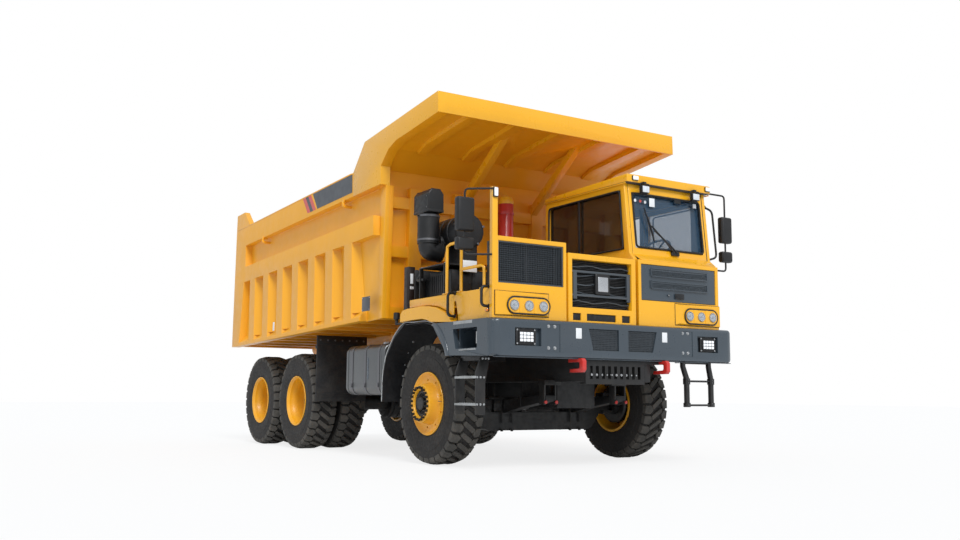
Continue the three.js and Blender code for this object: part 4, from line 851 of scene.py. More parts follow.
def addBumper():
    front = bumper["front"]
    corner = lambda a, b: upright(a, b) and abs(a.x) > 1.77 and a.y < -1.68
    shell = paint(easedMore("front_bumper", 0.006, 0.045, 4, corner), "greyPaint")
    place(shell, "chassis", "dark_grey_paint", ["front_bumper"])
    # rolled flange round the wheel arch
    arch = [(-0.43, 1.699), (-0.545, 1.699), (-0.655, 1.62), (-0.745, 1.51), (-0.8, 1.41), (-0.835, 1.305),
        (-0.76, 1.3), (-0.73, 1.385), (-0.68, 1.475), (-0.6, 1.575), (-0.5, 1.655), (-0.43, 1.675)]
    flange = addProfile("arch_flange", arch, "x", -1.86, -1.775, 0.01, 3)
    lip = addProfile("bumper_lip", [(-1.8, 1.279), (1.8, 1.279), (1.8, 1.27), (-1.8, 1.27)], "y",
        front + 0.012, front + 0.075, 0.003)
    tread = addBox("tread_strip", (-1.8535, -1.342, 1.66), (-1.846, -0.935, 1.697), 0.002)
    trims = [addBox("pocket_trim", (-1.853, -1.447, 1.425), (-1.846, -1.43, 1.56), 0.002),
        addBox("pocket_sill", (-1.853, -1.42, 1.357), (-1.8, -1.055, 1.37), 0.003)]
    light = paint([tread] + trims, "stepMetal")
    grip = [addBox("sill_tooth", (-1.855, y, 1.368), (-1.81, y + 0.006, 1.376), 0)
        for y in [-1.4 + 0.03 * n for n in range(12)]]
    paint([flange, lip], "greyPaint")
    paint(grip, "stepMetal")
    side = [flange] + light + grip
    assemble("bumper_side_trim", side + mirrored(side), "dark_grey_paint")
    place(lip, "chassis", "dark_grey_paint")
    # perforated screens over black backs
    wires = []
    low, high, wire = bumper["ventBottom"], bumper["ventTop"], bumper["wire"]
    inner, outerLow, outerHigh = bumper["ventInner"], bumper["ventOuterLow"], bumper["ventOuterHigh"]
    rows = int((high - low) / bumper["wirePitch"])
    for row in range(1, rows + 1):
        z = low + row * bumper["wirePitch"]
        reach = outerLow + (outerHigh - outerLow) * (z - low) / (high - low)
        wires.append(addBox("screen_wire", (inner, front + 0.012, z - wire), (reach, front + 0.016, z + wire), 0))
    columns = int((outerHigh - inner) / bumper["wirePitch"])
    for column in range(1, columns + 1):
        x = inner + column * bumper["wirePitch"]
        foot = low if x < outerLow else low + (high - low) * (x - outerLow) / (outerHigh - outerLow)
        wires.append(addBox("screen_wire", (x - wire, front + 0.012, foot), (x + wire, front + 0.016, high), 0))
    paint(wires, "grilleGrey")
    outline = [(inner, low), (outerLow, low), (outerHigh, high), (inner, high)]
    back = paint(addProfile("vent_back", outline, "y", front + 0.046, front + 0.0545, 0.001), "sealAndShadeBlack")
    hoses = []
    for row in range(7):
        z = low + 0.03 + row * 0.033
        wave = [(inner + 0.02 + 0.4 * t, front + 0.034, z + 0.01 * math.sin(5 * t + row))
            for t in [0, 0.2, 0.4, 0.6, 0.8, 1.0]]
        hoses.append(addTube("screen_slat", wave, 0.006, 0, 1))
    paint(hoses, "grilleGrey")
    screen = joinPieces("bumper_screen_left", wires + [back] + hoses)
    other = copyPiece(screen, "bumper_screen_right", acrossX)
    place(screen, "chassis", "black_steel")
    place(other, "chassis", "black_steel")
    # fog lamps
    x, z = bumper["lampX"], bumper["lampZ"]
    frameBox = addBox("fog_frame", (x - 0.135, front + 0.016, z - 0.088),
        (x + 0.135, front + 0.051, z + 0.088), 0.006)
    case = addBox("fog_case", (x - 0.105, front + 0.002, z - 0.068), (x + 0.105, front + 0.03, z + 0.068), 0.008, 3)
    cells = [addBox("fog_cell", (x - 0.09 + 0.0465 * i, front - 0.002, z - 0.053 + 0.0365 * j),
        (x - 0.09 + 0.0465 * i + 0.0395, front + 0.008, z - 0.053 + 0.0365 * j + 0.031), 0.004)
        for i in range(4) for j in range(3)]
    screws = addBolts("fog_screw",
        [(x + a * 0.118, front + 0.016, z + b * 0.076) for a in (-1, 1) for b in (-1, 1)], "y", -0.008, 0.007)
    paint([frameBox, case], "blackPlastic")
    paint(cells, "lampWhite")
    paint(screws, "zinc")
    fog = joinPieces("fog_lamp_left", [frameBox, case, screws] + cells)
    place(copyPiece(fog, "fog_lamp_right", acrossX), "chassis", "lamp_lens")
    place(fog, "chassis", "lamp_lens")
    # bolted plates, blank stickers
    spots = [(s * bx, front + 0.006, bz) for s, xs in ((1, (0.957, 1.042)), (-1, (1.012, 1.1))) for bx in xs
        for bz in (1.384, 1.628)]
    bolts = paint(addBolts("plate_bolts", spots, "y", -0.016, 0.014), "zinc")
    place(bolts, "chassis", "dark_grey_paint")
    notices = [addBox("blank_sticker", (x0, front - 0.0022, 1.505), (x0 + 0.083, front + 0.002, 1.625), 0.001)
        for x0 in (0.612, -0.714)]
    assemble("blank_stickers", paint(notices, "whiteDecal"), "dark_grey_paint")


def paintWhere(piece, finish, test):
    piece.data.materials.append(look[finish])
    index = len(piece.data.materials) - 1
    for face in piece.data.polygons:
        if test(face.center - axleShift):
            face.material_index = index


def addGuard():
    guard = paint(eased("front_guard", 0.008, 3), "blackSteel")
    paintWhere(guard, "redPaint", lambda c: 0.6 < abs(c.x) < 0.7
        and (c.y < -1.685 or c.z > 1.282 or (c.y > -1.66 and c.z < 1.275)))
    place(guard, "chassis", "black_steel", ["front_guard"])
    spots = [(-0.43 + 0.075 * n, -1.7017, 1.098) for n in range(10)]
    bolts = addBolts("guard_bolts", spots, "y", -0.012, 0.0105)
    place(paint(bolts, "zinc"), "chassis", "black_steel")


# The black ladder below the bumper's left end: rails kinked forwards, bolted lugs, thin round rungs.
def addLadder():
    rails = []
    for head, foot in ((0.98, 1.04), (1.42, 1.455)):
        side = [(head - 0.025, 1.2795), (head - 0.025, 1.215), (foot - 0.027, 1.06), (foot - 0.027, 0.728),
            (foot + 0.027, 0.728),
            (foot + 0.027, 1.075), (head + 0.025, 1.225), (head + 0.025, 1.2795)]
        rails.append(addProfile("ladder_rail", side, "y", -1.762, -1.712, 0.005))
        rails.append(addBox("ladder_lug", (foot - 0.036, -1.766, 1.0), (foot + 0.036, -1.708, 1.075), 0.004))
        rails.append(addBox("ladder_foot", (foot - 0.036, -1.766, 0.722), (foot + 0.036, -1.708, 0.775), 0.004))
    rungs = [addTube("ladder_rung", [(1.04, -1.737, z), (1.455, -1.737, z)], 0.013, 0, 3) for z in (1.04, 0.745)]
    rungs += [addBox("rung_tread", (1.07, -1.76, z - 0.004), (1.425, -1.714, z + 0.012), 0.003)
        for z in (1.04, 0.745)]
    tie = addBox("ladder_tie", (0.98, -1.742, 1.252), (1.42, -1.712, 1.2795), 0.004)
    paint(rails + rungs + [tie], "blackSteel")
    spots = [(foot, -1.768, z) for foot in (1.04, 1.455) for z in (1.02, 1.055, 0.738, 0.76)]
    bolts = paint(addBolts("ladder_bolts", spots, "y", -0.006, 0.006), "boltSteel")
    assemble("ladder_left", rails + rungs + [tie, bolts], "black_steel", ["boarding_ladder"])


# Side steps under the right end: two bent plates and two bright treads, with their bolt rows.
def addSideSteps():
    plates = []
    for y in (-1.412, -0.978):
        shape = [(-1.845, 0.64), (-1.72, 0.64), (-1.72, 0.99), (-1.66, 1.2795), (-1.78, 1.2795), (-1.845, 1.11)]
        plates.append(addProfile("step_plate", shape, "y", y - 0.012, y + 0.012, 0.005))
    plates.append(addBox("step_tie", (-1.77, -1.42, 1.24), (-1.68, -0.97, 1.336), 0.005))
    paint(plates, "blackSteel")
    treads = []
    for z in (1.052, 0.75):
        treads.append(addBox("step_tread", (-1.852, -1.421, z - 0.012), (-1.76, -0.969, z + 0.014), 0.004))
        treads += [addRound("tread_tooth", 0.011, 0, 0.006, (-1.81, -1.38 + 0.05 * n, z + 0.013), "z", 10, 0.002)
            for n in range(8)]
    paint(treads, "stepMetal")
    spots = [(-1.83 + 0.045 * n, -1.425, z) for z in (1.052, 0.752) for n in range(3)]
    spots += [(-1.76 + 0.04 * n, -1.425, 1.262) for n in range(3)]
    bolts = paint(addBolts("step_bolts", spots, "y", -0.008, 0.009), "zinc")
    assemble("side_steps_right", plates + treads + [bolts], "black_steel", ["side_steps"])


addBumper()
addGuard()
addLadder()
addSideSteps()
print("bumper, guard and steps made")


# Cooler side, grille and headlamps.

fascia = {"front": -1.7, "meshX": (-1.736, -0.83), "meshZ": (2.093, 2.564), "wire": 0.0017, "pitch": 0.0235}


# A rectangular frame of four bars that stands proud of a face across y.
def addRim(name, x0, x1, z0, z1, y0, y1, wide, bevel=0.003):
    return joinPieces(name, [
        addBox(name, (x0 - wide, y0, z1), (x1 + wide, y1, z1 + wide), bevel),
        addBox(name, (x0 - wide, y0, z0 - wide), (x1 + wide, y1, z0), bevel),
        addBox(name, (x0 - wide, y0, z0 - wide), (x0, y1, z1 + wide), bevel),
        addBox(name, (x1, y0, z0 - wide), (x1 + wide, y1, z1 + wide), bevel),
    ])


def addCoolerSide():
    front = fascia["front"]
    panel = paint(eased("fascia_right", 0.006, 3), "yellowPaint")
    place(panel, "chassis", "yellow_paint", ["fascia_right"])
    (x0, x1), (z0, z1) = fascia["meshX"], fascia["meshZ"]
    wire, pitch = fascia["wire"], fascia["pitch"]
    wires = [addBox("mesh_wire", (x0 + pitch * n - wire, front + 0.026, z0),
        (x0 + pitch * n + wire, front + 0.03, z1), 0)
        for n in range(1, int((x1 - x0) / pitch) + 1)]
    wires += [addBox("mesh_wire", (x0, front + 0.03, z0 + pitch * n - wire),
        (x1, front + 0.034, z0 + pitch * n + wire), 0)
        for n in range(1, int((z1 - z0) / pitch) + 1)]
    border = addRim("mesh_border", x0 + 0.016, x1 - 0.016, z0 + 0.016, z1 - 0.016, front + 0.012,
        front + 0.036, 0.0155, 0.002)
    paint(wires + [border], "grilleGrey")
    heads = [(x, front + 0.012, z0 + 0.008 + (z1 - z0 - 0.016) * n / 6)
        for x in (x0 + 0.008, x1 - 0.008) for n in range(7)]
    bolts = paint(addBolts("mesh_bolts", heads, "y", -0.004, 0.005), "boltSteel")
    assemble("cooler_mesh", wires + [border, bolts], "black_steel", ["screen_mesh"])
    fins = [addBox("cooler_fin", (x0 - 0.01, front + 0.118, z0 - 0.02 + 0.019 * n),
        (x1 - 0.02, front + 0.15, z0 - 0.014 + 0.019 * n), 0)
        for n in range(27)]
    core = addBox("cooler_core", (x0 - 0.015, front + 0.145, z0 - 0.03), (x1 - 0.01, front + 0.2, z1 + 0.01), 0.004)
    tanks = [addBox("cooler_tank", (x - 0.03, front + 0.105, z0 - 0.04),
        (x + 0.03, front + 0.21, z1 + 0.015), 0.012, 3)
        for x in (x0 + 0.01, (x0 + x1) / 2, x1 - 0.03)]
    tanks.append(addBox("cooler_shroud", (x1 - 0.008, front + 0.037, z0 + 0.001),
        (x1 - 0.001, front + 0.2, z1 - 0.001), 0.001))
    paint(fins + [core] + tanks, "blackSteel")
    assemble("oil_cooler", [core] + fins + tanks, "black_steel")
    base = paint(addBox("marker_base", (-1.814, front - 0.018, 3.045), (-1.75, front - 0.0005, 3.16), 0.006),
        "blackPlastic")
    lens = paint(addBox("marker_lens", (-1.806, front - 0.034, 3.054), (-1.758, front - 0.015, 3.151), 0.01, 3),
        "lampWhite")
    assemble("marker_right", [base, lens], "lamp_lens")


grille = {"x": (-0.705, 0.2), "z": (1.874, 2.44), "slats": 30}


def addGrille():
    front = fascia["front"]
    surround = paint(eased("radiator_surround", 0.007, 3), "yellowPaint")
    place(surround, "chassis", "yellow_paint", ["radiator_surround"])
    # Black boxes set inside the three shallow low slots: painted shade that makes them look deep and dark.
    slotShades = [addBox("low_slot_shade", (a + 0.002, front + 0.014, 1.724), (b - 0.002, front + 0.058, 1.804), 0.002)
        for a, b in ((-0.698, -0.577), (-0.492, -0.049), (0.043, 0.172))]
    assemble("low_slot_shades", paint(slotShades, "sealAndShadeBlack"), "black_steel")
    (x0, x1), (z0, z1) = grille["x"], grille["z"]
    back = addBox("core_back", (x0 + 0.001, front + 0.085, z0 + 0.001),
        (x1 - 0.001, front + 0.24, z1 - 0.001), 0.002)
    paint(back, "sealAndShadeBlack")
    slat = addProfile("core_slat",
        [(front + 0.052, 0), (front + 0.086, 0.011), (front + 0.086, 0.0135), (front + 0.052, 0.003)], "x",
        x0 + 0.002, x1 - 0.002, 0)
    step = (z1 - z0 - 0.02) / grille["slats"]
    slats = [copyPiece(slat, "core_slat", shift(z=z0 + 0.006 + step * n)) for n in range(grille["slats"])]
    bpy.data.objects.remove(slat, do_unlink=True)
    paint(slats, "grilleCore")
    hoops = []
    for n in range(5):
        z = z0 + 0.07 + n * 0.105
        wave = [(x0 + 0.01 + (x1 - x0 - 0.02) * t / 8, front + 0.05, z + 0.014 * math.sin(1.5 * t + n))
            for t in range(9)]
        hoops.append(addTube("core_hose", wave, 0.007, 0, 1))
    paint(hoops, "grilleGrey")
    bars = [addBox("grille_bar", (x0 + 0.001, front + 0.022, z - 0.014), (x1 - 0.001, front + 0.048, z + 0.014),
        0.006, 3) for z in (2.02, 2.3)]
    bars += [addBox("bar_foot", (x, front + 0.02, z0 + 0.1), (x + 0.055, front + 0.05, z1 - 0.13), 0.004)
        for x in (x0 + 0.03, x1 - 0.06)]
    paint(bars, "grilleGrey")
    plate = addBox("plate_rim", (-0.345, front + 0.012, 2.038), (-0.122, front + 0.07, 2.292), 0.022, 4)
    face = addBox("plate_face", (-0.312, front + 0.007, 2.075), (-0.155, front + 0.03, 2.255), 0.014, 3)
    paint(plate, "blackPlastic")
    paint(face, "plateSilver")
    assemble("front_grille", [back] + slats + hoops + bars + [plate, face], "dark_grey_paint", ["radiator_grille"])


lamp = {
    "z": 1.85, "pitch": 0.199, "ovalFoot": 1.757, "ovalHead": 1.943,
    "collar": [(-0.03, 0.046), (-0.046, 0.048), (-0.05, 0.051), (-0.05, 0.056), (-0.044, 0.06), (-0.03, 0.061)],
    "bowl": [(-0.036, 0.0), (-0.036, 0.02), (-0.038, 0.036), (-0.044, 0.048), (-0.032, 0.048), (-0.028, 0.0)],
    "glass": [(-0.05, 0.0), (-0.0495, 0.023), (-0.047, 0.038), (-0.043, 0.048), (-0.041, 0.048),
    (-0.045, 0.036), (-0.047, 0.0)],
}


def arcPoints(x, z, radius, start, sweep, steps):
    turns = [math.radians(start + sweep * n / steps) for n in range(steps + 1)]
    return [(x + radius * math.cos(angle), z + radius * math.sin(angle)) for angle in turns]


def ovalPath(x0, x1, y):
    radius = (lamp["ovalHead"] - lamp["ovalFoot"]) / 2
    middle = (lamp["ovalFoot"] + lamp["ovalHead"]) / 2
    ends = arcPoints(x1 - radius, middle, radius, -90, 180, 12) + arcPoints(x0 + radius,
        middle, radius, 90, 180, 12)
    return [(x, y, z) for x, z in ends]


# Raised bezel with a thin black sheet behind it as a painted shadow line round its edge, dark oval ring, ribbed
# yellow pad and three round lamps.
def addHeadlamp(node, inner, outer, ringFrom, ringTo, middle):
    front = fascia["front"]
    low, high = sorted((inner, outer))
    # A black sheet a little larger than the bezel, set behind it: painted shadow along the bezel's edge.
    bezelShadow = paint(addBox("bezel_painted_shadow", (low - 0.006, front - 0.003, 1.729),
        (high + 0.002, front - 0.0002, 2.006), 0.001), "sealAndShadeBlack")
    slope = 0.045 if inner < outer else -0.045
    bezel = addBox("bezel", (low, front - 0.022, 1.735), (high, front - 0.002, 2.0), 0)
    for vertex in bezel.data.vertices:
        if vertex.co.y - axleY < front - 0.01 and abs(vertex.co.x - inner) < 0.01:
            vertex.co.x += slope
            vertex.co.z += 0.02 if vertex.co.z < 1.8 else -0.02
    bevelEdges(bezel, 0.004, 2)
    pad = [(x, z) for x, y, z in ovalPath(ringFrom, ringTo, 0)]
    pad = addProfile("lamp_pad", pad, "y", front - 0.034, front - 0.02, 0.006, 3)
    ribs = [addBox("pad_rib", (x - 0.03, front - 0.04, 1.765), (x + 0.03, front - 0.03, 1.935), 0.005)
        for x in (middle - lamp["pitch"] / 2, middle + lamp["pitch"] / 2)]
    paint([bezel, pad] + ribs, "yellowPaint")
    ring = paint(addTube("lamp_oval", ovalPath(ringFrom, ringTo, front - 0.03), 0.0105, 0, 2, True), "blackPlastic")
    lamps = []
    for side in (-1, 0, 1):
        centre = (middle + side * lamp["pitch"], front, lamp["z"])
        collar, bowl, glassFace = (addTurned("lamp_" + part, lamp[part], centre, "y", 32)
            for part in ("collar", "bowl", "glass"))
        bulb = addRound("lamp_bulb", 0.013, -0.03, -0.0445, centre, "y", 14, 0.005)
        paint(collar, "zinc")
        paint(bowl, "lampSilver")
        paint(glassFace, "lampClear")
        paint(bulb, "blackPlastic")
        lamps += [collar, bowl, glassFace, bulb]
    side = "right" if inner > outer else "left"
    assemble("headlamp_unit_" + node.rsplit("_", 1)[1],
        [bezelShadow, bezel, pad] + ribs + [ring] + lamps, "lamp_lens", [node])


addCoolerSide()
addGrille()
addHeadlamp("headlamp_right", -1.048, -1.784, -1.63, -1.054, -1.345)
addHeadlamp("headlamp_left", 0.905, 1.664, 1.045, 1.61, 1.32)
print("front panels and lamps made")


# Lower cab panel and service hatch.

# A horizontal bay pressed into a panel: dark back, rolled frame, and angled blades.
def addLouvreBand(name, x0, x1, z0, z1, face):
    back = paint(addBox(name + "_back", (x0, face - 0.0035, z0), (x1, face - 0.001, z1), 0.001), "grilleGrey")
    rim = addRim(name + "_rim", x0, x1, z0, z1, face - 0.012, face - 0.0005, 0.014, 0.005)
    blades = [addProfile("blade",
        [(face - 0.003, z), (face - 0.014, z + 0.002), (face - 0.015, z + 0.005), (face - 0.004, z + 0.011)], "x",
        x0, x1, 0)
        for z in [z0 + 0.006 + 0.0165 * n for n in range(int((z1 - z0) / 0.0165))]]
    paint([rim] + blades, "greyPaint")
    return [back, rim] + blades


def addHatch():
    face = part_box("service_hatch")[0].y - axleY
    panel = paint(eased("service_hatch", 0.005, 3), "greyPaint")
    parts = [panel]
    parts += addLouvreBand("louvre_high", 0.52, 1.452, 2.326, 2.408, face)
    parts += addLouvreBand("louvre_low", 0.52, 1.452, 2.176, 2.254, face)
    latch = paint(addBox("latch_case", (0.905, face - 0.01, 2.055), (1.055, face, 2.125), 0.016, 3), "blackPlastic")
    paddle = paint(addBox("latch_paddle", (0.925, face - 0.016, 2.07), (1.02, face - 0.008, 2.112), 0.008, 3),
        "blackSteel")
    lock = paint(addRound("latch_lock", 0.013, 0, -0.008, (0.797, face, 2.096), "y", 20), "blackPlastic")
    core = paint(addRound("latch_core", 0.007, -0.006, -0.01, (0.797, face, 2.096), "y", 16), "zinc")
    parts += [latch, paddle, lock, core]
    place(joinPieces("service_hatch_skin", parts), "hatch", "dark_grey_paint", ["service_hatch"])


place(paint(eased("cab_base", 0.007, 3), "yellowPaint"), "chassis", "yellow_paint", ["cab_base"])
addHatch()


# Cab shell, door, lamps and mirrors.

cab = {
    "wheel": (1.23, -1.01, 2.79), "wheelRadius": 0.225, "wheelTilt": -0.5,
    "screenFoot": -1.543, "screenLean": 0.0997,
    "insideX": (0.3, 1.705), "insideY": (-1.53, 0.21), "windowX": (0.36, 1.65), "windowY": (-1.6, 0.15),
    "windowZ": (2.62, 3.46),
}


def screenY(z):
    return cab["screenFoot"] + cab["screenLean"] * (z - 2.608)


# Seal that follows a closed run of points, drawn as a round tube.
def addSeal(name, points, radius=0.011):
    return paint(addTube(name, points, radius, 0, 2, True), "sealAndShadeBlack")


def roundedLoop(points, bend=0.06, steps=5):
    loop, count = [], len(points)
    for index in range(count):
        before, corner, after = (Vector(points[(index + k) % count]) for k in (-1, 0, 1))
        back = (before - corner).normalized() * bend
        on = (after - corner).normalized() * bend
        loop += [tuple(corner + back * (1 - t / steps) ** 2 + on * (t / steps) ** 2) for t in range(steps + 1)]
    return loop


inward = {
    "cab_windscreen_frame": (0, 1, 0), "cab_inner_side": (1, 0, 0), "cab_outer_side": (-1, 0, 0),
    "cab_rear_wall": (0, -1, 0), "cab_roof": (0, 0, -1), "cab_door": (-1, 0, 0),
}


def isIn(value, name):
    low, high = cab[name]
    return low < value < high


# Grey trim on the faces of a cab panel that look into the cab, dark seal round its window.
def lineInside(panel, direction):
    panel.data.materials.append(look["innerGrey"])
    panel.data.materials.append(look["sealAndShadeBlack"])
    for face in panel.data.polygons:
        centre = face.center - axleShift
        within = isIn(centre.x, "insideX") and isIn(centre.y, "insideY")
        reveal = isIn(centre.x, "windowX") and isIn(centre.y, "windowY") and isIn(centre.z, "windowZ")
        inwards = face.normal.dot(Vector(direction))
        if within and inwards > 0.6:
            face.material_index = 1
        elif reveal and abs(inwards) < 0.5:
            face.material_index = 2


def addShell():
    for node, width in (("cab_windscreen_frame", 0.012), ("cab_inner_side", 0.008), ("cab_outer_side", 0.008),
            ("cab_rear_wall", 0.008), ("cab_roof", 0.016)):
        panel = paint(eased(node, width, 3), "yellowPaint")
        lineInside(panel, inward[node])
        place(panel, "chassis", "yellow_paint", [node])
    seals = []
    out = 0.006
    front = [(x, screenY(z) - out, z) for x, z in ((0.43, 2.698), (1.582, 2.698), (1.582, 3.392), (0.43, 3.392))]
    seals.append(addSeal("screen_seal", roundedLoop(front, 0.05), 0.013))
    inner = [(0.304, y, z) for y, z in ((-1.432, 2.674), (0.117, 2.674), (0.117, 3.419), (-1.374, 3.419))]
    seals.append(addSeal("side_seal", roundedLoop(inner, 0.05), 0.012))
    outer = [(1.704, y, z) for y, z in ((-0.232, 2.708), (0.132, 2.708), (0.132, 3.392), (-0.232, 3.392))]
    seals.append(addSeal("quarter_seal", roundedLoop(outer, 0.05), 0.011))
    rear = [(x, 0.206, z) for x, z in ((0.528, 2.758), (1.482, 2.758), (1.482, 3.372), (0.528, 3.372))]
    seals.append(addSeal("rear_seal", roundedLoop(rear, 0.05), 0.011))
    post = paint(addBox("side_divider", (0.298, -0.566, 2.672), (0.316, -0.528, 3.421), 0.004), "blackPlastic")
    assemble("cab_seals", seals + [post], "black_plastic")
    for node, material in (("windscreen", "clearGlass"), ("cab_side_glass", "tintGlass"),
            ("rear_glass", "clearGlass")):
        place(paint(eased(node, 0.002, 1), material), "chassis", "glass", [node])
    # gutters along the roof's sides and ribs along its top
    gutter = [addBox("gutter", (0.296, -1.49, 3.497), (0.31, 0.225, 3.512), 0.004),
        addBox("gutter", (1.746, -1.49, 3.497), (1.758, 0.225, 3.512), 0.004)]
    assemble("roof_gutters", paint(gutter, "yellowPaint"), "yellow_paint")
    roofTop = [addBox("roof_rib", (x - 0.03, -1.4, 3.612), (x + 0.03, 0.12, 3.628), 0.007, 3)
        for x in (0.62, 1.03, 1.44)]
    assemble("roof_ribs", paint(roofTop, "yellowPaint"), "yellow_paint")


def addDoor():
    door = paint(eased("cab_door", 0.006, 3), "yellowPaint")
    lineInside(door, inward["cab_door"])
    place(door, "door", "yellow_paint", ["cab_door"])
    place(paint(eased("door_glass", 0.002, 1), "clearGlass"), "door", "glass", ["door_glass"])
    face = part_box("cab_door")[1].x
    window = [(face + 0.003, y, z) for y, z in ((-1.242, 2.698), (-0.418, 2.698), (-0.418, 3.362), (-1.242, 3.362))]
    seal = addSeal("door_seal", roundedLoop(window, 0.05), 0.011)
    handle = paint(addTube("door_handle",
        [(face, -0.5, 2.5), (face + 0.045, -0.5, 2.5), (face + 0.045, -0.4, 2.5), (face, -0.4, 2.5)], 0.009, 0.02),
        "blackPlastic")
    plate = paint(addBox("handle_plate", (face, -0.52, 2.455), (face + 0.008, -0.38, 2.535), 0.006), "blackPlastic")
    lock = paint(addRound("door_lock", 0.01, 0.006, 0.014, (face, -0.44, 2.475), "x", 16), "zinc")
    hinges = [addRound("door_hinge", 0.014, z - 0.05, z + 0.05, (face + 0.004, -1.322, 0), "z", 16)
        for z in (2.35, 2.85, 3.25)]
    ribs = [addBox("door_rib", (face - 0.002, -1.22, z), (face + 0.007, -0.58, z + 0.035), 0.006, 3)
        for z in (2.2, 2.34)]
    paint(hinges + ribs, "yellowPaint")
    place(joinPieces("door_fittings", [seal, handle, plate, lock] + hinges + ribs), "door", "black_plastic")


wiper = {"pivots": ((1.094, 2.661), (1.03, 2.668)), "tips": ((0.73, 2.93), (0.69, 2.985)),
    "blade": ((0.733, 2.782), (0.599, 3.218)), "armRadius": 0.011, "bladeRadius": 0.01}


# One wiper on two parallel arms, its blade nearly upright.
def addWipers():
    def onScreen(place, proud):
        return place[0], screenY(place[1]) - proud, place[1]

    parts = []
    for pivot, tip in zip(wiper["pivots"], wiper["tips"]):
        parts.append(addRound("wiper_spindle", 0.019, 0.0, -0.04, onScreen(pivot, 0), "y", 20))
        bend = [near + (far - near) * 0.35 for near, far in zip(pivot, tip)]
        arm = [onScreen(pivot, 0.034), onScreen(bend, 0.045), onScreen(tip, 0.03)]
        parts.append(addTube("wiper_arm", arm, wiper["armRadius"], 0.05))
    foot, head = wiper["blade"]
    parts.append(addTube("wiper_blade", [onScreen(foot, 0.014), onScreen(head, 0.014)], wiper["bladeRadius"], 0, 2))
    bow = [[low + (high - low) * share for low, high in zip(foot, head)] for share in (0.2, 0.45, 0.8)]
    parts.append(addTube("wiper_bow",
        [onScreen(bow[0], 0.024), onScreen(bow[1], 0.034), onScreen(bow[2], 0.024)], 0.007, 0.03))
    parts.append(addBox("wiper_cowl", (1.0, screenY(2.64) - 0.03, 2.628), (1.135, screenY(2.66), 2.676), 0.012, 3))
    assemble("wipers", paint(parts, "blackPlastic"), "black_plastic")


# Lamps in black brackets over the screen, marker lamps on the roof's front corners.
def addRoofLamps():
    parts = []
    for x in (0.56, 1.43):
        face = -1.523
        case = paint(addBox("work_lamp_case", (x - 0.064, face - 0.062, 3.385), (x + 0.064, face - 0.006, 3.482),
            0.01, 3), "blackPlastic")
        lens = paint(addBox("work_lamp_lens", (x - 0.054, face - 0.067, 3.394),
            (x + 0.054, face - 0.058, 3.473), 0.006), "lampLens")
        yoke = paint(addTube("work_lamp_yoke",
            [(x - 0.072, face - 0.035, 3.43), (x - 0.072, face - 0.035, 3.51), (x + 0.072, face - 0.035, 3.51),
            (x + 0.072, face - 0.035, 3.43)], 0.006, 0.01), "blackSteel")
        foot = paint(addBox("work_lamp_foot", (x - 0.025, face - 0.045, 3.5),
            (x + 0.025, face + 0.006, 3.532), 0.004), "blackSteel")
        parts += [case, lens, yoke, foot]
    for x in (0.43, 1.69):
        base = paint(addBox("marker_base", (x - 0.048, -1.536, 3.54), (x + 0.048, -1.52, 3.6), 0.006),
            "blackPlastic")
        lens = paint(addBox("marker_lens", (x - 0.042, -1.556, 3.545), (x + 0.042, -1.532, 3.596), 0.01, 3),
            "lampWhite")
        parts += [base, lens]
    assemble("roof_lamps", parts, "lamp_lens")
    sensor = addBox("screen_sensor", (1.14, screenY(3.36) - 0.016, 3.335),
        (1.255, screenY(3.36) - 0.002, 3.385), 0.006, 3)
    place(paint(sensor, "blackPlastic"), "chassis", "black_plastic")
    notes = [addBox("screen_note", (x - wide, screenY(z) - 0.006, z - tall),
        (x + wide, screenY(z) - 0.0035, z + tall), 0.001)
        for x, z, wide, tall in ((0.752, 3.3, 0.045, 0.055), (1.5, 3.335, 0.028, 0.028))]
    dots = [addRound("screen_dot", 0.02, -0.0035, -0.006, (x, screenY(z), z), "y", 24)
        for x, z in ((0.47, 3.3), (0.556, 3.298), (0.636, 3.294))]
    paint(notes + dots, "whiteDecal")
    paint(dots[1], "decalRed")
    assemble("screen_notes", notes + dots, "black_plastic")
    brim = paint(addBox("screen_visor", (0.47, -1.47, 3.385), (1.56, -1.455, 3.405), 0.004), "blackPlastic")
    place(brim, "chassis", "black_plastic")


def addMirrorHead(name, x0, x1, y, z0, z1):
    shell = addBox(name, (x0, y - 0.045, z0), (x1, y + 0.045, z1), 0.026, 4)
    crown = addBox(name + "_crown", (x0 + 0.008, y - 0.052, z0 + 0.01), (x1 - 0.008, y - 0.015, z1 - 0.01), 0.02, 4)
    paint([shell, crown], "blackPlastic")
    glass = paint(addBox(name + "_glass", (x0 + 0.014, y + 0.04, z0 + 0.016), (x1 - 0.014, y + 0.0475, z1 - 0.016),
        0.003), "mirrorGlass")
    return [shell, crown, glass]


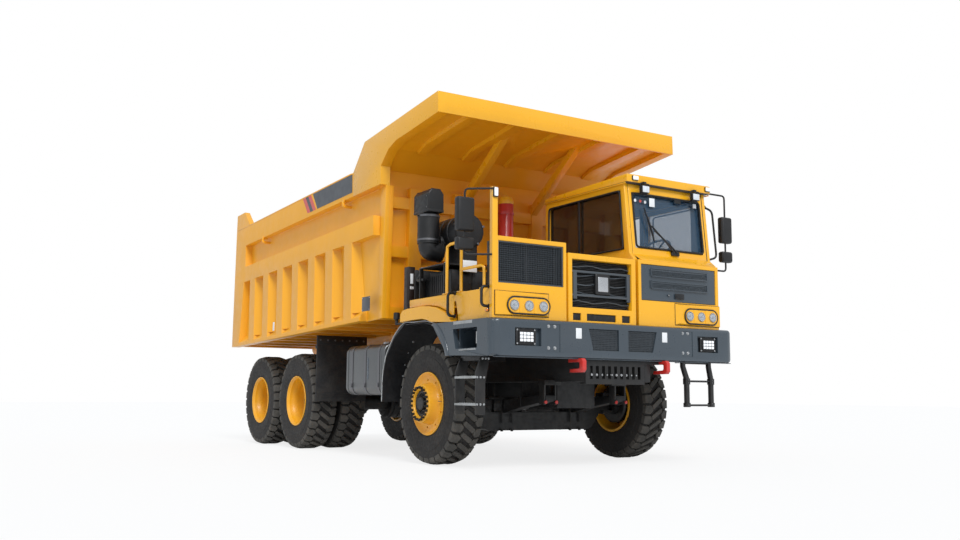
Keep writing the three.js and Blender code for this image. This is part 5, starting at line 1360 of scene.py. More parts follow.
def addMirrors():
    left = [addTube("mirror_stem",
        [(1.752, -1.45, 3.54), (2.082, -1.45, 3.54), (2.082, -1.45, 2.516), (1.706, -1.45, 2.516)], 0.012, 0.05)]
    left.append(addBox("mirror_foot", (1.7, -1.475, 2.486), (1.712, -1.425, 2.546), 0.004))
    left.append(addBox("mirror_top_foot", (1.745, -1.475, 3.525), (1.775, -1.425, 3.56), 0.004))
    paint(left, "blackSteel")
    left += addMirrorHead("mirror_main", 1.986, 2.176, -1.45, 2.892, 3.247) + addMirrorHead("mirror_wide", 1.986,
        2.176, -1.45, 2.633, 2.78)
    assemble("mirror_left_unit", left, "black_steel", ["mirror_left"])
    right = [addTube("mirror_stem",
        [(-1.812, -1.7, 3.14), (-2.062, -1.51, 3.14), (-2.062, -1.51, 2.4), (-1.812, -1.69, 2.4)], 0.012, 0.05)]
    paint(right, "blackSteel")
    right += addMirrorHead("mirror_main", -2.175, -1.952, -1.51, 2.657, 3.044) + addMirrorHead("mirror_wide",
        -2.175, -1.952, -1.51, 2.446, 2.592)
    assemble("mirror_right_unit", right, "black_steel", ["mirror_right"])
    grab = addTube("cab_grab_tube",
        [(1.7, -1.45, 3.347), (1.845, -1.45, 3.311), (1.913, -1.45, 2.688), (1.703, -1.45, 2.628)], 0.014, 0.06, 4)
    feet = [addRound("grab_foot", 0.026, 0.0, 0.01, (1.7, -1.45, z), "x", 20) for z in (3.347, 2.628)]
    assemble("cab_grab_rail", paint([grab] + feet, "blackSteel"), "black_steel")


addShell()
addDoor()
addWipers()
addRoofLamps()
addMirrors()
print("cab shell made")


# Inside the cab: padded seat, steering wheel, dashboard.

seat = {"x": 1.23, "cap": 0.01}


# Blows a closed block up like a stuffed cushion, then keeps every point within a cap of where it started.
def puffed(name, blocks, pressure, cap):
    piece = joinPieces(name, blocks)
    remesh = piece.modifiers.new("remesh", "REMESH")
    remesh.mode = "VOXEL"
    remesh.voxel_size = 0.006
    applyModifiers(piece)
    start = [vertex.co.copy() for vertex in piece.data.vertices]
    cloth = piece.modifiers.new("stuffing", "CLOTH")
    cloth.settings.quality = 4
    cloth.settings.mass = 0.3
    cloth.settings.use_pressure = True
    cloth.settings.uniform_pressure_force = pressure
    cloth.settings.effector_weights.gravity = 0
    cloth.settings.tension_stiffness = 12
    cloth.settings.compression_stiffness = 12
    scene = bpy.context.scene
    for step in range(1, 15):
        scene.frame_set(step)
    applyModifiers(piece)
    scene.frame_set(1)
    for vertex, origin in zip(piece.data.vertices, start):
        moved = vertex.co - origin
        if moved.length > cap:
            vertex.co = origin + moved.normalized() * cap
    finer = piece.modifiers.new("finer", "SUBSURF")
    finer.levels = 1
    applyModifiers(piece)
    smooth(piece, 80)
    return piece


def addPad(name, low, high, channels, facing, cap):
    block = addBox(name, low, high, 0.022, 3)
    pad = puffed(name, [block], 4.0, cap)
    middle = (Vector(low) + Vector(high)) / 2 + axleShift
    # sewn channels pressed in after the stuffing
    for vertex in pad.data.vertices:
        run = vertex.co.x - middle.x
        dip = sum(math.exp(-((run - channel) / 0.007) ** 2) for channel in channels)
        push = 0.007 * min(1, dip)
        if facing == "up" and vertex.co.z > middle.z:
            vertex.co.z -= push
        if facing == "front" and vertex.co.y < middle.y:
            vertex.co.y += push
    smooth(pad, 80)
    return paint(pad, "seatCloth")


def addSeat():
    x = seat["x"]
    cushion = addPad("seat_cushion", (x - 0.235, -0.655, 2.452), (x + 0.235, -0.175, 2.556),
        (-0.14, 0.14), "up", seat["cap"])
    back = addPad("seat_back_pad", (x - 0.225, -0.215, 2.585), (x + 0.225, -0.13, 3.11),
        (-0.13, 0.13), "front", seat["cap"])
    lean = turn(-0.155, (x, -0.19, 2.56), "X")
    back.data.transform(lean)
    for pad in (cushion, back):
        place(pad, "chassis", "seat_fabric", ["driver_seat"])
    shell = addBox("seat_pan", (x - 0.23, -0.64, 2.425), (x + 0.23, -0.13, 2.452), 0.01, 3)
    rear = addProfile("seat_back_shell", [(-0.135, 2.44), (-0.1, 2.44), (-0.012, 3.05), (-0.04, 3.06)], "x",
        x - 0.215, x + 0.215, 0.008, 3)
    bellows = []
    for n in range(8):
        fold, z = 0.02 * (n % 2), 2.1 + 0.038 * n
        low, high = (x - 0.17 + fold, -0.56 + fold, z), (x + 0.17 - fold, -0.2 - fold, z + 0.04)
        bellows.append(addBox("seat_bellows", low, high, 0.01))
    base = addBox("seat_base", (x - 0.2, -0.6, 2.061), (x + 0.2, -0.17, 2.105), 0.008)
    rests = [addBox("arm_rest", (x + s * 0.27 - 0.028, -0.52, 2.7), (x + s * 0.27 + 0.028, -0.19, 2.745), 0.018, 3)
        for s in (-1, 1)]
    rests += [addBox("arm_bracket", (x + s * 0.25 - 0.012, -0.21, 2.56), (x + s * 0.25 + 0.012, -0.15, 2.72),
        0.006) for s in (-1, 1)]
    frameParts = paint([shell, rear, base] + bellows + rests, "blackPlastic")
    assemble("seat_frame", frameParts, "black_plastic")


def addSteering():
    x, y, z = cab["wheel"]
    r = cab["wheelRadius"] - 0.015
    tilt = cab["wheelTilt"]
    ring = addTube("wheel_rim",
        [(x + r * math.cos(a), y + r * math.sin(a), z) for a in [math.pi * n / 24 for n in range(48)]], 0.0145, 0,
        4, True)
    spokes = [addTube("wheel_spoke",
        [(x + 0.03 * math.cos(a), y + 0.03 * math.sin(a), z - 0.03), (x + r * math.cos(a), y + r * math.sin(a), z)],
        0.011, 0) for a in (0.3, 2.84, 4.71)]
    hub = addRound("wheel_hub", 0.055, -0.045, 0.0, (x, y, z), "z", 28, 0.01)
    column = addRound("wheel_column", 0.033, -0.46, -0.04, (x, y, z), "z", 20)
    wheel = joinPieces("steering_wheel_unit", paint([ring, hub, column] + spokes, "blackPlastic"))
    wheel.data.transform(turn(tilt, (x, y, z), "X"))
    place(wheel, "chassis", "black_plastic", ["steering_wheel"])


def addDashboard():
    parts = [addProfile("dashboard",
        [(-1.5, 2.58), (-1.3, 2.6), (-1.19, 2.66), (-1.15, 2.6), (-1.22, 2.32), (-1.5, 2.3)], "x",
        0.345, 1.66, 0.018, 3),
        addBox("gauge_hood", (1.03, -1.36, 2.64), (1.43, -1.2, 2.72), 0.02, 3),
        addBox("side_console", (0.36, -1.14, 2.065), (0.62, -0.12, 2.52), 0.02, 3),
        addBox("floor_mat", (0.36, -1.2, 2.061), (1.66, 0.14, 2.072), 0.003)]
    assemble("dashboard_trim", paint(parts, "innerGrey"), "black_plastic")
    gauges = [paint(addRound("gauge", 0.04, 0.0, 0.01, (x, -1.199, 2.66), "y", 24), "blackSteel")
        for x in (1.13, 1.23, 1.33)]
    rims = [paint(addTube("gauge_rim",
        [(x + 0.038 * math.cos(a), -1.189, 2.66 + 0.038 * math.sin(a))
        for a in [math.pi * n / 12 for n in range(24)]], 0.003, 0, 2, True), "zinc") for x in (1.13, 1.23, 1.33)]
    lever = paint(addTube("gear_lever", [(0.55, -0.75, 2.51), (0.56, -0.78, 2.66)], 0.009, 0), "zinc")
    knob = paint(addRound("gear_knob", 0.024, 0, 0.05, (0.56, -0.78, 2.65), "z", 20, 0.012), "blackPlastic")
    assemble("cab_controls", gauges + rims + [lever, knob], "black_plastic")


addSeat()
addSteering()
addDashboard()
print("cab inside made")


# Right-hand deck, fenders and what stands on them.

deck = {"side": -1.8}


# A black C handle that stands off the deck's side.
def addHandle(y, z0, z1):
    side = deck["side"]
    tube = addTube("step_handle",
        [(side, y, z1), (side - 0.1, y, z1), (side - 0.1, y, z0), (side, y, z0)], 0.0165, 0.055, 4)
    feet = [addRound("handle_foot", 0.024, -0.01, 0, (side, y, z), "x", 20) for z in (z0, z1)]
    return paint([tube] + feet, "blackSteel")


def addDeck():
    walkway = paint(eased("deck_right", 0.008, 3), "yellowPaint")
    treads = [addBox("deck_tread", (-1.74, y, 2.037), (-0.89, y + 0.012, 2.044), 0.002)
        for y in [-1.55 + 0.05 * n for n in range(18)]]
    paint(treads, "blackSteel")
    skirt = [(0.23, 2.036), (0.23, 1.945), (0.2, 1.942), (-0.128, 1.946), (-0.319, 1.934), (-0.501, 1.907),
        (-0.692, 1.845), (-0.8, 1.79), (-0.86, 1.75), (-0.86, 2.036)]
    side = paint(addProfile("deck_skirt", skirt, "x", -1.803, -1.79, 0.003), "yellowPaint")
    assemble("deck_walkway", [walkway, side] + treads, "yellow_paint", ["deck_right"])
    rail = paint(eased("handrail", 0.003, 2, 40), "yellowPaint")
    feet = [addBox("rail_foot", (-1.808, y - 0.035, 2.0405), (-1.734, y + 0.035, 2.052), 0.004)
        for y in (-0.637, -0.967, -1.467)]
    heads = addBolts("rail_bolt",
        [(-1.77 + a * 0.026, y + b * 0.024, 2.051) for y in (-0.637, -0.967, -1.467) for a in (-1, 1)
        for b in (-1, 1)], "z", 0.008, 0.006)
    paint(feet, "yellowPaint")
    paint(heads, "zinc")
    assemble("deck_handrail", [rail, heads] + feet, "yellow_paint", ["handrail"])
    handles = addHandle(-0.885, 1.765, 2.035) + addHandle(-1.613, 1.832, 2.05)
    assemble("deck_handles", handles, "black_steel")
    base = paint(addBox("amber_base", (-1.816, -1.628, 1.77), (-1.7995, -1.566, 1.808), 0.005), "blackPlastic")
    lens = paint(addBox("amber_lens", (-1.83, -1.622, 1.774), (-1.812, -1.572, 1.804), 0.008, 3), "amberLens")
    assemble("side_marker", [base, lens], "lamp_lens")


fender = {
    "edge": [(-0.8, 1.682), (-0.42, 1.706), (-0.284, 1.738), (-0.158, 1.757), (0.125, 1.757),
    (0.36, 1.77), (0.5, 1.715),
    (0.66, 1.605), (0.8, 1.455), (0.88, 1.352), (0.945, 1.19), (0.968, 1.05), (0.977, 0.765)],
    "bolts": [(0.52, 1.675), (0.68, 1.545), (0.81, 1.405), (0.9, 1.25), (0.945, 1.1), (0.953, 0.95), (0.955, 0.82)],
}


# Yellow cap over a black arch liner; the liner carries a pale edging and a row of bolts.
def addFender(node, side):
    shell = paint(easedMore(node, 0.005, 0.012, 3, lambda a, b: abs(abs(a.x) - 1.85) < 0.002
        and abs(abs(b.x) - 1.85) < 0.002 and min(a.y, b.y) > -0.86), "yellowPaint")
    paintWhere(shell, "blackPlastic", lambda c: c.y > 0.408 or (c.y > 0.24 and c.z < 1.762))
    edge = paint(addTube("liner_edge", [(-1.797, y, z) for y, z in fender["edge"]], 0.0075, 0.03, 2), "stepMetal")
    bolts = paint(addBolts("liner_bolts", [(-1.5, y, z) for y, z in fender["bolts"]], "y", -0.012, 0.011), "zinc")
    outer = [addBox("liner_band", (-1.8, 0.958, 0.98), (-1.19, 0.966, 1.02), 0.002)]
    panel = [addBox("arch_panel", (-1.104, -0.84, 1.495), (-1.088, 0.395, 1.756), 0.003),
        addProfile("arch_roof",
        [(-0.84, 1.66), (-0.42, 1.69), (-0.15, 1.742), (0.34, 1.742), (0.34, 1.732), (-0.15, 1.732), (-0.42, 1.68),
        (-0.84, 1.65)], "x", -1.8, -1.09, 0.002)]
    paint(outer + panel, "blackPlastic")
    trim = joinPieces("arch_trim", [edge, bolts] + outer + panel)
    if side == "left":
        trim = copyWithout(trim, "arch_trim_left", acrossX)
    assemble("fender_" + side + "_cap", [shell, trim], "yellow_paint", [node])


# A mirrored copy that takes the place of the piece it was made from.
def copyWithout(piece, name, matrix):
    copy = copyPiece(piece, name, matrix)
    bpy.data.objects.remove(piece, do_unlink=True)
    return copy


intake = {"x": -1.635, "y": 0.07, "radius": 0.14}


def addIntake():
    x, y, radius = intake["x"], intake["y"], intake["radius"]
    can = addTurned("canister",
        [(2.74, 0.0), (2.74, 0.12), (2.755, radius), (3.128, radius), (3.14, radius - 0.012), (3.14, 0)], (x, y, 0),
        "z", 48)
    bands = [addHoop("canister_band", z - 0.012, z + 0.012, radius - 0.001, radius + 0.0045, (x, y, 0), "z")
        for z in (3.105, 2.8)]
    lug = addBox("band_lug", (x - radius - 0.026, y - 0.018, 3.095), (x - radius - 0.002, y + 0.018, 3.115), 0.004)
    elbow = addTube("intake_elbow", [(x, y, 2.8), (x, y, 2.662), (x + 0.165, y, 2.662)], 0.128, 0.13, 6)
    foot = addTurned("elbow_collar",
        [(x + 0.15, 0.0), (x + 0.15, 0.134), (x + 0.172, 0.134), (x + 0.178, 0.1), (x + 0.178, 0.0)],
        (0, y, 2.662), "x", 40)
    hood = [(x - 0.11, 3.143), (x - 0.11, 3.375), (x - 0.062, 3.438), (x + 0.062, 3.438),
        (x + 0.11, 3.375), (x + 0.11, 3.143)]
    cap = addProfile("intake_hood", hood, "y", y - 0.188, y + 0.188, 0.01, 3)
    rims = [addProfile("hood_flange",
        [(x - 0.114, 3.141), (x - 0.114, 3.172), (x + 0.114, 3.172), (x + 0.114, 3.141)], "y",
        y - 0.192, y + 0.192, 0.004)]
    folds = [addProfile("hood_fold",
        [(a + x, b) for a, b in ((-0.113, 3.17), (-0.113, 3.376), (-0.063, 3.441), (0.063, 3.441), (0.113, 3.376),
        (0.113, 3.17))], "y", y + s * 0.176 - 0.006, y + s * 0.176 + 0.006, 0.002) for s in (-1, 1)]
    hose = [addTurned("intake_hose",
        [(-1.5, 0.0), (-1.5, 0.086)] + [(-1.495 + 0.011 * n, 0.092 if n % 2 else 0.083) for n in range(13)]
        + [(-1.355, 0.0)], (0, y, 2.79), "x", 36)]
    heads = addBolts("hood_bolt",
        [(x - 0.1135, y + s * 0.15, z) for s in (-1, 1) for z in (3.2, 3.34)], "x", -0.006, 0.007)
    dark = [can, elbow, foot, cap, lug] + rims + folds + hose
    paint(dark, "blackSteel")
    paint(bands + [heads], "boltSteel")
    assemble("intake_stack", dark + bands + [heads], "black_steel", ["air_intake"])


cleaner = {"x": -1.275, "z": 2.905, "radius": 0.205}


def addCleaner():
    base = paint(eased("air_cleaner", 0.006, 3), "blackSteel")
    x, z, r = cleaner["x"], cleaner["z"], cleaner["radius"]
    centre = (x, 0, z)
    ends = [addTurned("cleaner_lid",
        [(-0.352, 0.0), (-0.364, 0.0), (-0.364, 0.055), (-0.358, 0.075), (-0.36, 0.15), (-0.352, 0.188),
        (-0.345, 0.188)], centre, "y", 48),
        addHoop("cleaner_rim", -0.335, -0.312, r - 0.002, r + 0.008, centre, "y")]
    for y in (0.04, -0.14):
        bead = [(y, r - 0.002), (y + 0.005, r + 0.004), (y + 0.025, r + 0.004), (y + 0.03, r - 0.002)]
        ends.append(addTurned("cleaner_bead", bead, centre, "y", 48))
    clip = addBox("lid_clip", (x - 0.014, -0.366, z + r - 0.02), (x + 0.014, -0.29, z + r + 0.014), 0.005)
    clips = [ringOf(clip, 5, centre, "Y")]
    valve = addTurned("dust_valve", [(2.62, 0.0), (2.62, 0.018), (2.66, 0.026), (2.72, 0.03), (2.74, 0.0)],
        (x, -0.27, 0), "z", 24)
    paint(ends + [valve], "blackPlastic")
    paint(clips, "boltSteel")
    outerDoor = addBox("cabinet_door", (-1.642, -0.538, 2.06), (-1.36, -0.5295, 2.36), 0.005)
    innerDoor = addBox("cabinet_door_inner", (-1.35, -0.538, 2.06), (-1.062, -0.5295, 2.36), 0.005)
    hinge = [addRound("cabinet_hinge", 0.007, low - 0.02, low + 0.02, (-1.646, -0.534, 0), "z", 12)
        for low in (2.12, 2.3)]
    knob = addRound("cabinet_knob", 0.013, 0, -0.012, (-1.39, -0.538, 2.21), "y", 16)
    paint([outerDoor, innerDoor] + hinge + [knob], "blackPlastic")
    side = [addBox("cabinet_vent", (-1.656, -0.48 + 0.05 * n, 2.1), (-1.6485, -0.46 + 0.05 * n, 2.32), 0.002)
        for n in range(9)]
    paint(side, "blackPlastic")
    plate = paint(addBox("blank_notice", (-1.56, -0.605, 2.343), (-1.327, -0.5995, 2.483), 0.002), "whiteDecal")
    holder = paint(addBox("notice_holder", (-1.566, -0.5995, 2.336), (-1.321, -0.5905, 2.489), 0.003), "blackSteel")
    feet = paint(addBolts("shelf_bolts", [(sx, sy, 2.431) for sx in (-1.755, -1.075) for sy in (-0.565, 0.005)],
        "z", 0.01, 0.01), "zinc")
    assemble("air_cleaner_unit",
        [base] + ends + clips + [valve, outerDoor, innerDoor, knob, plate, holder, feet] + hinge + side,
        "black_steel", ["air_cleaner"])


def addRearCabinet():
    base = paint(eased("rear_cabinet", 0.006, 3), "cabinetBrown")
    face = -1.75
    panel = addBox("cabinet_skin", (face - 0.006, 0.392, 1.96), (face, 0.478, 2.46), 0.004)
    front = addBox("cabinet_front", (-1.742, 0.3715, 1.96), (-1.658, 0.378, 2.46), 0.003)
    paint([panel, front], "cabinetBrown")
    labels = [addBox("blank_label", (-1.722, 0.3685, 2.27), (-1.682, 0.3722, 2.4), 0.001),
        addBox("blank_label", (-1.726, 0.3685, 2.2), (-1.7, 0.3722, 2.235), 0.001),
        addBox("blank_label", (-1.694, 0.3685, 2.2), (-1.672, 0.3722, 2.235), 0.001)]
    paint(labels, "whiteDecal")
    gland = paint([addRound("cabinet_gland", 0.01, 1.905, 1.932, (-1.7 + 0.028 * k, 0.43, 0), "z", 14)
        for k in (-1, 0, 1)], "blackPlastic")
    assemble("rear_cabinet_unit", [base, panel, front] + labels + gland, "black_steel", ["rear_cabinet"])
    stub = [addRound("vent_filter", 0.042, 1.83, 1.925, (-1.7, 0.775, 0), "z", 24, 0.01),
        addRound("vent_neck", 0.02, 1.76, 1.835, (-1.7, 0.775, 0), "z", 16),
        addTube("vent_arm", [(-1.7, 0.775, 1.775), (-1.7, 0.44, 1.775), (-1.7, 0.44, 1.935)], 0.014, 0.04)]
    assemble("breather", paint(stub, "blackPlastic"), "black_plastic")


# Black sheet, pipes and boxes behind the rails, where the cooling pipework runs.
def addPipework():
    parts = [addBox("bay_sheet", (-1.765, 0.165, 2.045), (-1.03, 0.18, 2.425), 0.004),
        addBox("bay_box", (-1.62, 0.02, 2.045), (-1.3, 0.15, 2.3), 0.012, 3),
        addBox("bay_lid", (-1.63, 0.012, 2.285), (-1.29, 0.158, 2.305), 0.006)]
    for n, x in enumerate((-1.24, -1.16, -1.1)):
        parts.append(addTube("bay_hose",
            [(x, 0.12, 2.045), (x, 0.12, 2.3 + 0.03 * n), (x - 0.3, 0.1, 2.36 + 0.01 * n)], 0.022, 0.08, 3))
    parts.append(addTube("bay_pipe",
        [(-1.755, -0.05, 2.28), (-1.755, 0.14, 2.28), (-1.7, 0.14, 2.4)], 0.018, 0.05, 3))
    paint(parts, "blackSteel")
    clips = paint([addRound("hose_clip", 0.026, z, z + 0.012, (x, 0.12, 0), "z", 20) for x in (-1.24, -1.16, -1.1)
        for z in (2.08, 2.22)], "zinc")
    assemble("deck_pipework", parts + clips, "black_steel")


addDeck()
addPipework()
addFender("fender_right", "right")
addFender("fender_left", "left")
addIntake()
addCleaner()
addRearCabinet()
print("deck side made")


# Dump body.

body = {
    "rear": 6.7905, "bottom": 1.688, "rake": -0.029, "half": 1.925, "sheet": 1.805,
    "length": 5.848, "ribWidth": 0.313, "ribs": 7, "lastRib": 1.016, "firstRib": 0.89,
    "midFrom": 1.126, "midTo": 1.397, "topFrom": 1.783, "topTo": 2.125,
}


# Pieces of the body are drawn level, measured from its rear foot, and then raked with it.
def rakeBody(pieces):
    matrix = (Matrix.Translation((0, body["rear"] + axleY, body["bottom"])) @ Matrix.Rotation(body["rake"], 4, "X")
        @ Matrix.Translation((0, -axleY, 0)))
    for piece in pieces if isinstance(pieces, list) else [pieces]:
        piece.data.transform(matrix)
    return pieces


# The bright splayed plate beside each rib: nothing wide at its head, a hand wide at its foot.
def addGusset(y):
    half, sheet = body["half"], body["sheet"]
    low, high = 0.13, body["midFrom"] - 0.03
    edge = y - body["ribWidth"] / 2
    piece = addProfile("rib_gusset",
        [(-half + 0.002, edge + 0.035), (-sheet + 0.003, edge + 0.035), (-sheet + 0.003, edge - 0.175)], "z", low,
        high, 0)
    for vertex in piece.data.vertices:
        if vertex.co.z > 0.5 and vertex.co.y - axleY < edge:
            vertex.co.y = edge - 0.016 + axleY
    bevelEdges(piece, 0.003, 1)
    return piece


# Rounded weld along a corner of the side sheet, from one (y, z) to another.
def addWeld(start, end):
    x = -body["sheet"] - 0.002
    return addTube("weld", [(x, *start), (x, *end)], 0.006, 0, 1)


def addSide(node, side):
    panel = eased(node, 0.009, 3)
    half, sheet = body["half"], body["sheet"]
    pitch = (body["length"] - body["lastRib"] - body["firstRib"]) / (body["ribs"] - 1)
    extras = [addGusset(-body["lastRib"] - n * pitch) for n in range(body["ribs"])]
    for n in range(body["ribs"]):
        y = -body["lastRib"] - n * pitch
        for edge in (-1, 1):
            extras.append(addWeld((y + edge * 0.168, 0.18), (y + edge * 0.168, body["midFrom"] - 0.01)))
    extras += [addWeld((-5.7, z), (-0.62, z)) for z in (body["midTo"] + 0.004, body["topFrom"] - 0.004)]
    # rope lugs on the upper bay
    for y in (-1.5, -4.79):
        extras.append(addTube("rope_lug",
            [(-sheet, y, 1.7), (-half - 0.002, y, 1.7), (-half - 0.002, y, 1.775), (-sheet - 0.05, y, 1.79)], 0.022,
            0.03, 4))
        extras.append(addRound("lug_head", 0.034, -half - 0.012, -half + 0.006, (0, y, 1.772), "x", 20))
    # wear strip along the top rail
    extras.append(addBox("top_cap", (-half - 0.004, -5.05, body["topTo"] - 0.012),
        (-half + 0.16, -0.16, body["topTo"] + 0.006), 0.005))
    rakeBody(extras)
    if side == "left":
        extras = [copyWithout(piece, piece.name + "_left", acrossX) for piece in extras]
    paint([panel] + extras, "bedPaint")
    place(joinPieces("bed_side_" + side + "_plate", [panel] + extras), "dump_body", "yellow_paint", [node])


def slanted(y0, y1, z0, z1, lean, proud=0.0022):
    half = body["half"]
    outline = [(y0, z1), (y0 + lean, z0), (y1 + lean, z0), (y1, z1)]
    return addProfile("film", outline, "x", -half - proud, -half + 0.001, 0)


# Blank coloured film on the top rail: a dark stripe between two red ones, then a dark panel.
def addFilms():
    z0, z1 = 1.845, 2.108
    reds = [slanted(-3.266, -3.38, z0, z1, -0.2), slanted(-3.482, -3.59, z0, z1, -0.2)]
    darks = [slanted(-3.38, -3.482, z0, z1, -0.2, 0.0024), slanted(-3.665, -5.02, z0, z1, -0.18)]
    for vertex in darks[1].data.vertices:
        if vertex.co.y - axleY < -4.9:
            vertex.co.y = -5.088 + axleY
    rakeBody(reds + darks)
    paint(reds, "decalRed")
    paint(darks, "decalDark")
    films = joinPieces("top_rail_film", reds + darks)
    place(copyPiece(films, "top_rail_film_left", acrossX), "dump_body", "dark_grey_paint")
    place(films, "dump_body", "dark_grey_paint")
    half = body["half"]
    plate = addBox("side_plate", (-half - 0.004, 1.118, 1.965), (-half + 0.001, 1.362, 2.16), 0.004)
    screws = addBolts("plate_screw",
        [(-half - 0.004, y, z) for y in (1.135, 1.345) for z in (1.982, 2.143)], "x", -0.004, 0.006)
    paint(plate, "decalDark")
    paint(screws, "zinc")
    mark = paint(addBox("rib_mark", (-half - 0.0022, 4.665, 1.88), (-half + 0.001, 4.735, 2.02), 0.001),
        "whiteDecal")
    place(joinPieces("side_plates", [plate, screws, mark]), "dump_body", "dark_grey_paint")


def addHeadboard():
    # Headboard and bed floor are painted whole in the shaded yellow, as painted shade.
    panel = paint(eased("bed_headboard", 0.008, 3), "paintedShadeYellow")
    place(panel, "dump_body", "yellow_paint", ["bed_headboard"])
    floor = paint(eased("bed_floor", 0.006, 2), "paintedShadeYellow")
    place(floor, "dump_body", "yellow_paint", ["bed_floor"])
    canopy = paint(eased("bed_canopy", 0.01, 3), "yellowPaint")
    # Canopy faces that look down or back get the shaded yellow: painted shade under the canopy.
    canopy.data.materials.append(look["paintedShadeYellow"])
    for face in canopy.data.polygons:
        if face.normal.z < -0.2 or face.normal.y > 0.5:
            face.material_index = 1
    place(canopy, "dump_body", "yellow_paint", ["bed_canopy"])


addSide("bed_side_right", "right")
addSide("bed_side_left", "left")
addHeadboard()
addFilms()
print("dump body made")


# Tanks, flaps and running gear.

tank = {"front": 0.985, "inner": 1.13, "outer": 1.77, "round": 0.11}


def tankLoop(low, high, grow, steps=6):
    inner, outer, radius = tank["inner"] - grow, tank["outer"] + grow, tank["round"] + grow
    low, high = low - grow, high + grow
    right, left, head, foot = outer - radius, inner + radius, high - radius, low + radius
    corners = ((right, head, 0), (left, head, 90), (left, foot, 180), (right, foot, 270))
    return [point for x, z, start in corners for point in arcPoints(x, z, radius, start, 90, steps)]


# A band round the tank: the outline run out one size and back a size smaller.
def addBand(name, low, high, y, width, grow):
    outer = addProfile(name, tankLoop(low, high, grow), "y", y - width / 2, y + width / 2, 0)
    hole = addProfile(name + "_hole", tankLoop(low, high, -0.002), "y", y - width, y + width, 0)
    band = cutAway(outer, [hole])
    bevelEdges(band, 0.002, 1)
    return band


def addTank(name, node, low, high, rear, straps, filler, material):
    shell = addProfile(name, tankLoop(low, high, 0), "y", tank["front"], rear, 0.022, 4)
    seams = [addBand("tank_seam", low, high, y, 0.012, 0.004) for y in (tank["front"] + 0.075, rear - 0.075)]
    ends = []
    for y, way in ((tank["front"], -1), (rear, 1)):
        ends.append(addProfile("tank_end", tankLoop(low + 0.05, high - 0.05, -0.05), "y", y - way * 0.004,
            y + way * 0.004, 0.003))
    paint([shell] + seams + ends, material)
    bands = [addBand("tank_strap", low, high, y, 0.065, 0.006) for y in straps]
    lining = [addBand("strap_rubber", low, high, y, 0.08, 0.003) for y in straps]
    paint(bands, "boltSteel")
    paint(lining, "sealAndShadeBlack")
    x, y = filler
    neck = paint(addRound("filler_neck", 0.05, high - 0.02, high + 0.02, (x, y, 0), "z", 28), material)
    cap = paint(addTurned("filler_cap",
        [(high + 0.006, 0.0), (high + 0.006, 0.062), (high + 0.024, 0.064), (high + 0.03, 0.056),
        (high + 0.03, 0.0)], (x, y, 0), "z", 24), "zinc")
    grip = paint(addBox("cap_grip", (x - 0.05, y - 0.008, high + 0.028), (x + 0.05, y + 0.008, high + 0.04), 0.004),
        "zinc")
    gauge = paint(addBox("level_gauge", (tank["outer"] - 0.002, y + 0.16, low + 0.2),
        (tank["outer"] + 0.006, y + 0.19, high - 0.18), 0.003), "clearGlass")
    tensioners = [addBox("strap_clamp", (tank["outer"] + 0.004, y - 0.022, low + 0.1),
        (tank["outer"] + 0.02, y + 0.022, low + 0.16), 0.004) for y in straps]
    paint(tensioners, "boltSteel")
    whole = joinPieces(name, [shell, neck, cap, grip, gauge] + seams + ends + bands + lining + tensioners)
    if node == "fuel_tank":
        whole = copyWithout(whole, name, acrossX)
    place(whole, "chassis", "tank_steel", [node])


axles = {"springX": 0.55, "packX": 0.62, "packY": 4.885, "hubZ": tyre["z"], "pinionZ": 0.7865}


def addFlaps():
    base = paint(eased("mudflaps", 0.006, 2), "flap")
    clamp = [addBox("flap_clamp", (-1.785, 3.174, 1.6), (-0.965, 3.182, 1.735), 0.003)]
    clamp += [addBox("flap_fold", (-1.774, 3.176, z), (-0.975, 3.1805, z + 0.01), 0.002)
        for z in (0.8, 0.835, 0.87)]
    paint(clamp[:1], "blackSteel")
    paint(clamp[1:], "flap")
    bolts = paint(addBolts("flap_bolt", [(-1.74 + 0.12 * n, 3.175, 1.67) for n in range(7)], "y", -0.01, 0.011),
        "boltSteel")
    trim = joinPieces("flap_trim", clamp + [bolts])
    other = copyPiece(trim, "flap_trim_other", acrossX)
    assemble("mud_flaps", [base, trim, other], "black_steel", ["mudflaps"])


def addFrontAxle():
    spring = axles["springX"]
    beam = paint(eased("front_axle", 0.01, 3), "cast")
    ubolts = []
    for x in (-spring, spring):
        for y in (-0.115, 0.115):
            for s in (-1, 1):
                ubolts.append(addTube("u_bolt", [(x + s * 0.078, y, 0.5), (x + s * 0.078, y, 0.835)], 0.011, 0, 3))
                ubolts.append(addRound("u_nut", 0.02, 0.395, 0.425, (x + s * 0.078, y, 0), "z", 6))
        ubolts.append(addBox("spring_plate", (x - 0.1, -0.15, 0.8), (x + 0.1, 0.15, 0.835), 0.006))
    lines = [addBox("leaf_line", (s * spring - 0.0715, y0, z), (s * spring + 0.0715, y1, z + 0.003), 0)
        for s in (-1, 1) for y0, y1, z in ((-0.42, 0.42, 0.69), (-0.34, 0.34, 0.715),
        (-0.48, 0.48, 0.74), (-0.3, 0.3, 0.665))]
    clips = [addBox("leaf_clip", (s * spring - 0.082, y - 0.02, 0.72), (s * spring + 0.082, y + 0.02, 0.845),
        0.004) for s in (-1, 1) for y in (-0.52, 0.52)]
    nuts = []
    for s in (-1, 1):
        for x in (0.47, 0.63):
            nuts.append(addRound("hanger_nut", 0.022, -0.016, 0.004, (s * x, -1.066, 0.775), "y", 6))
    paint(ubolts + clips, "spring")
    paint(lines, "sealAndShadeBlack")
    paint(nuts, "redPaint")
    assemble("front_axle_unit", [beam] + ubolts + clips + lines + nuts, "cast", ["front_axle"])


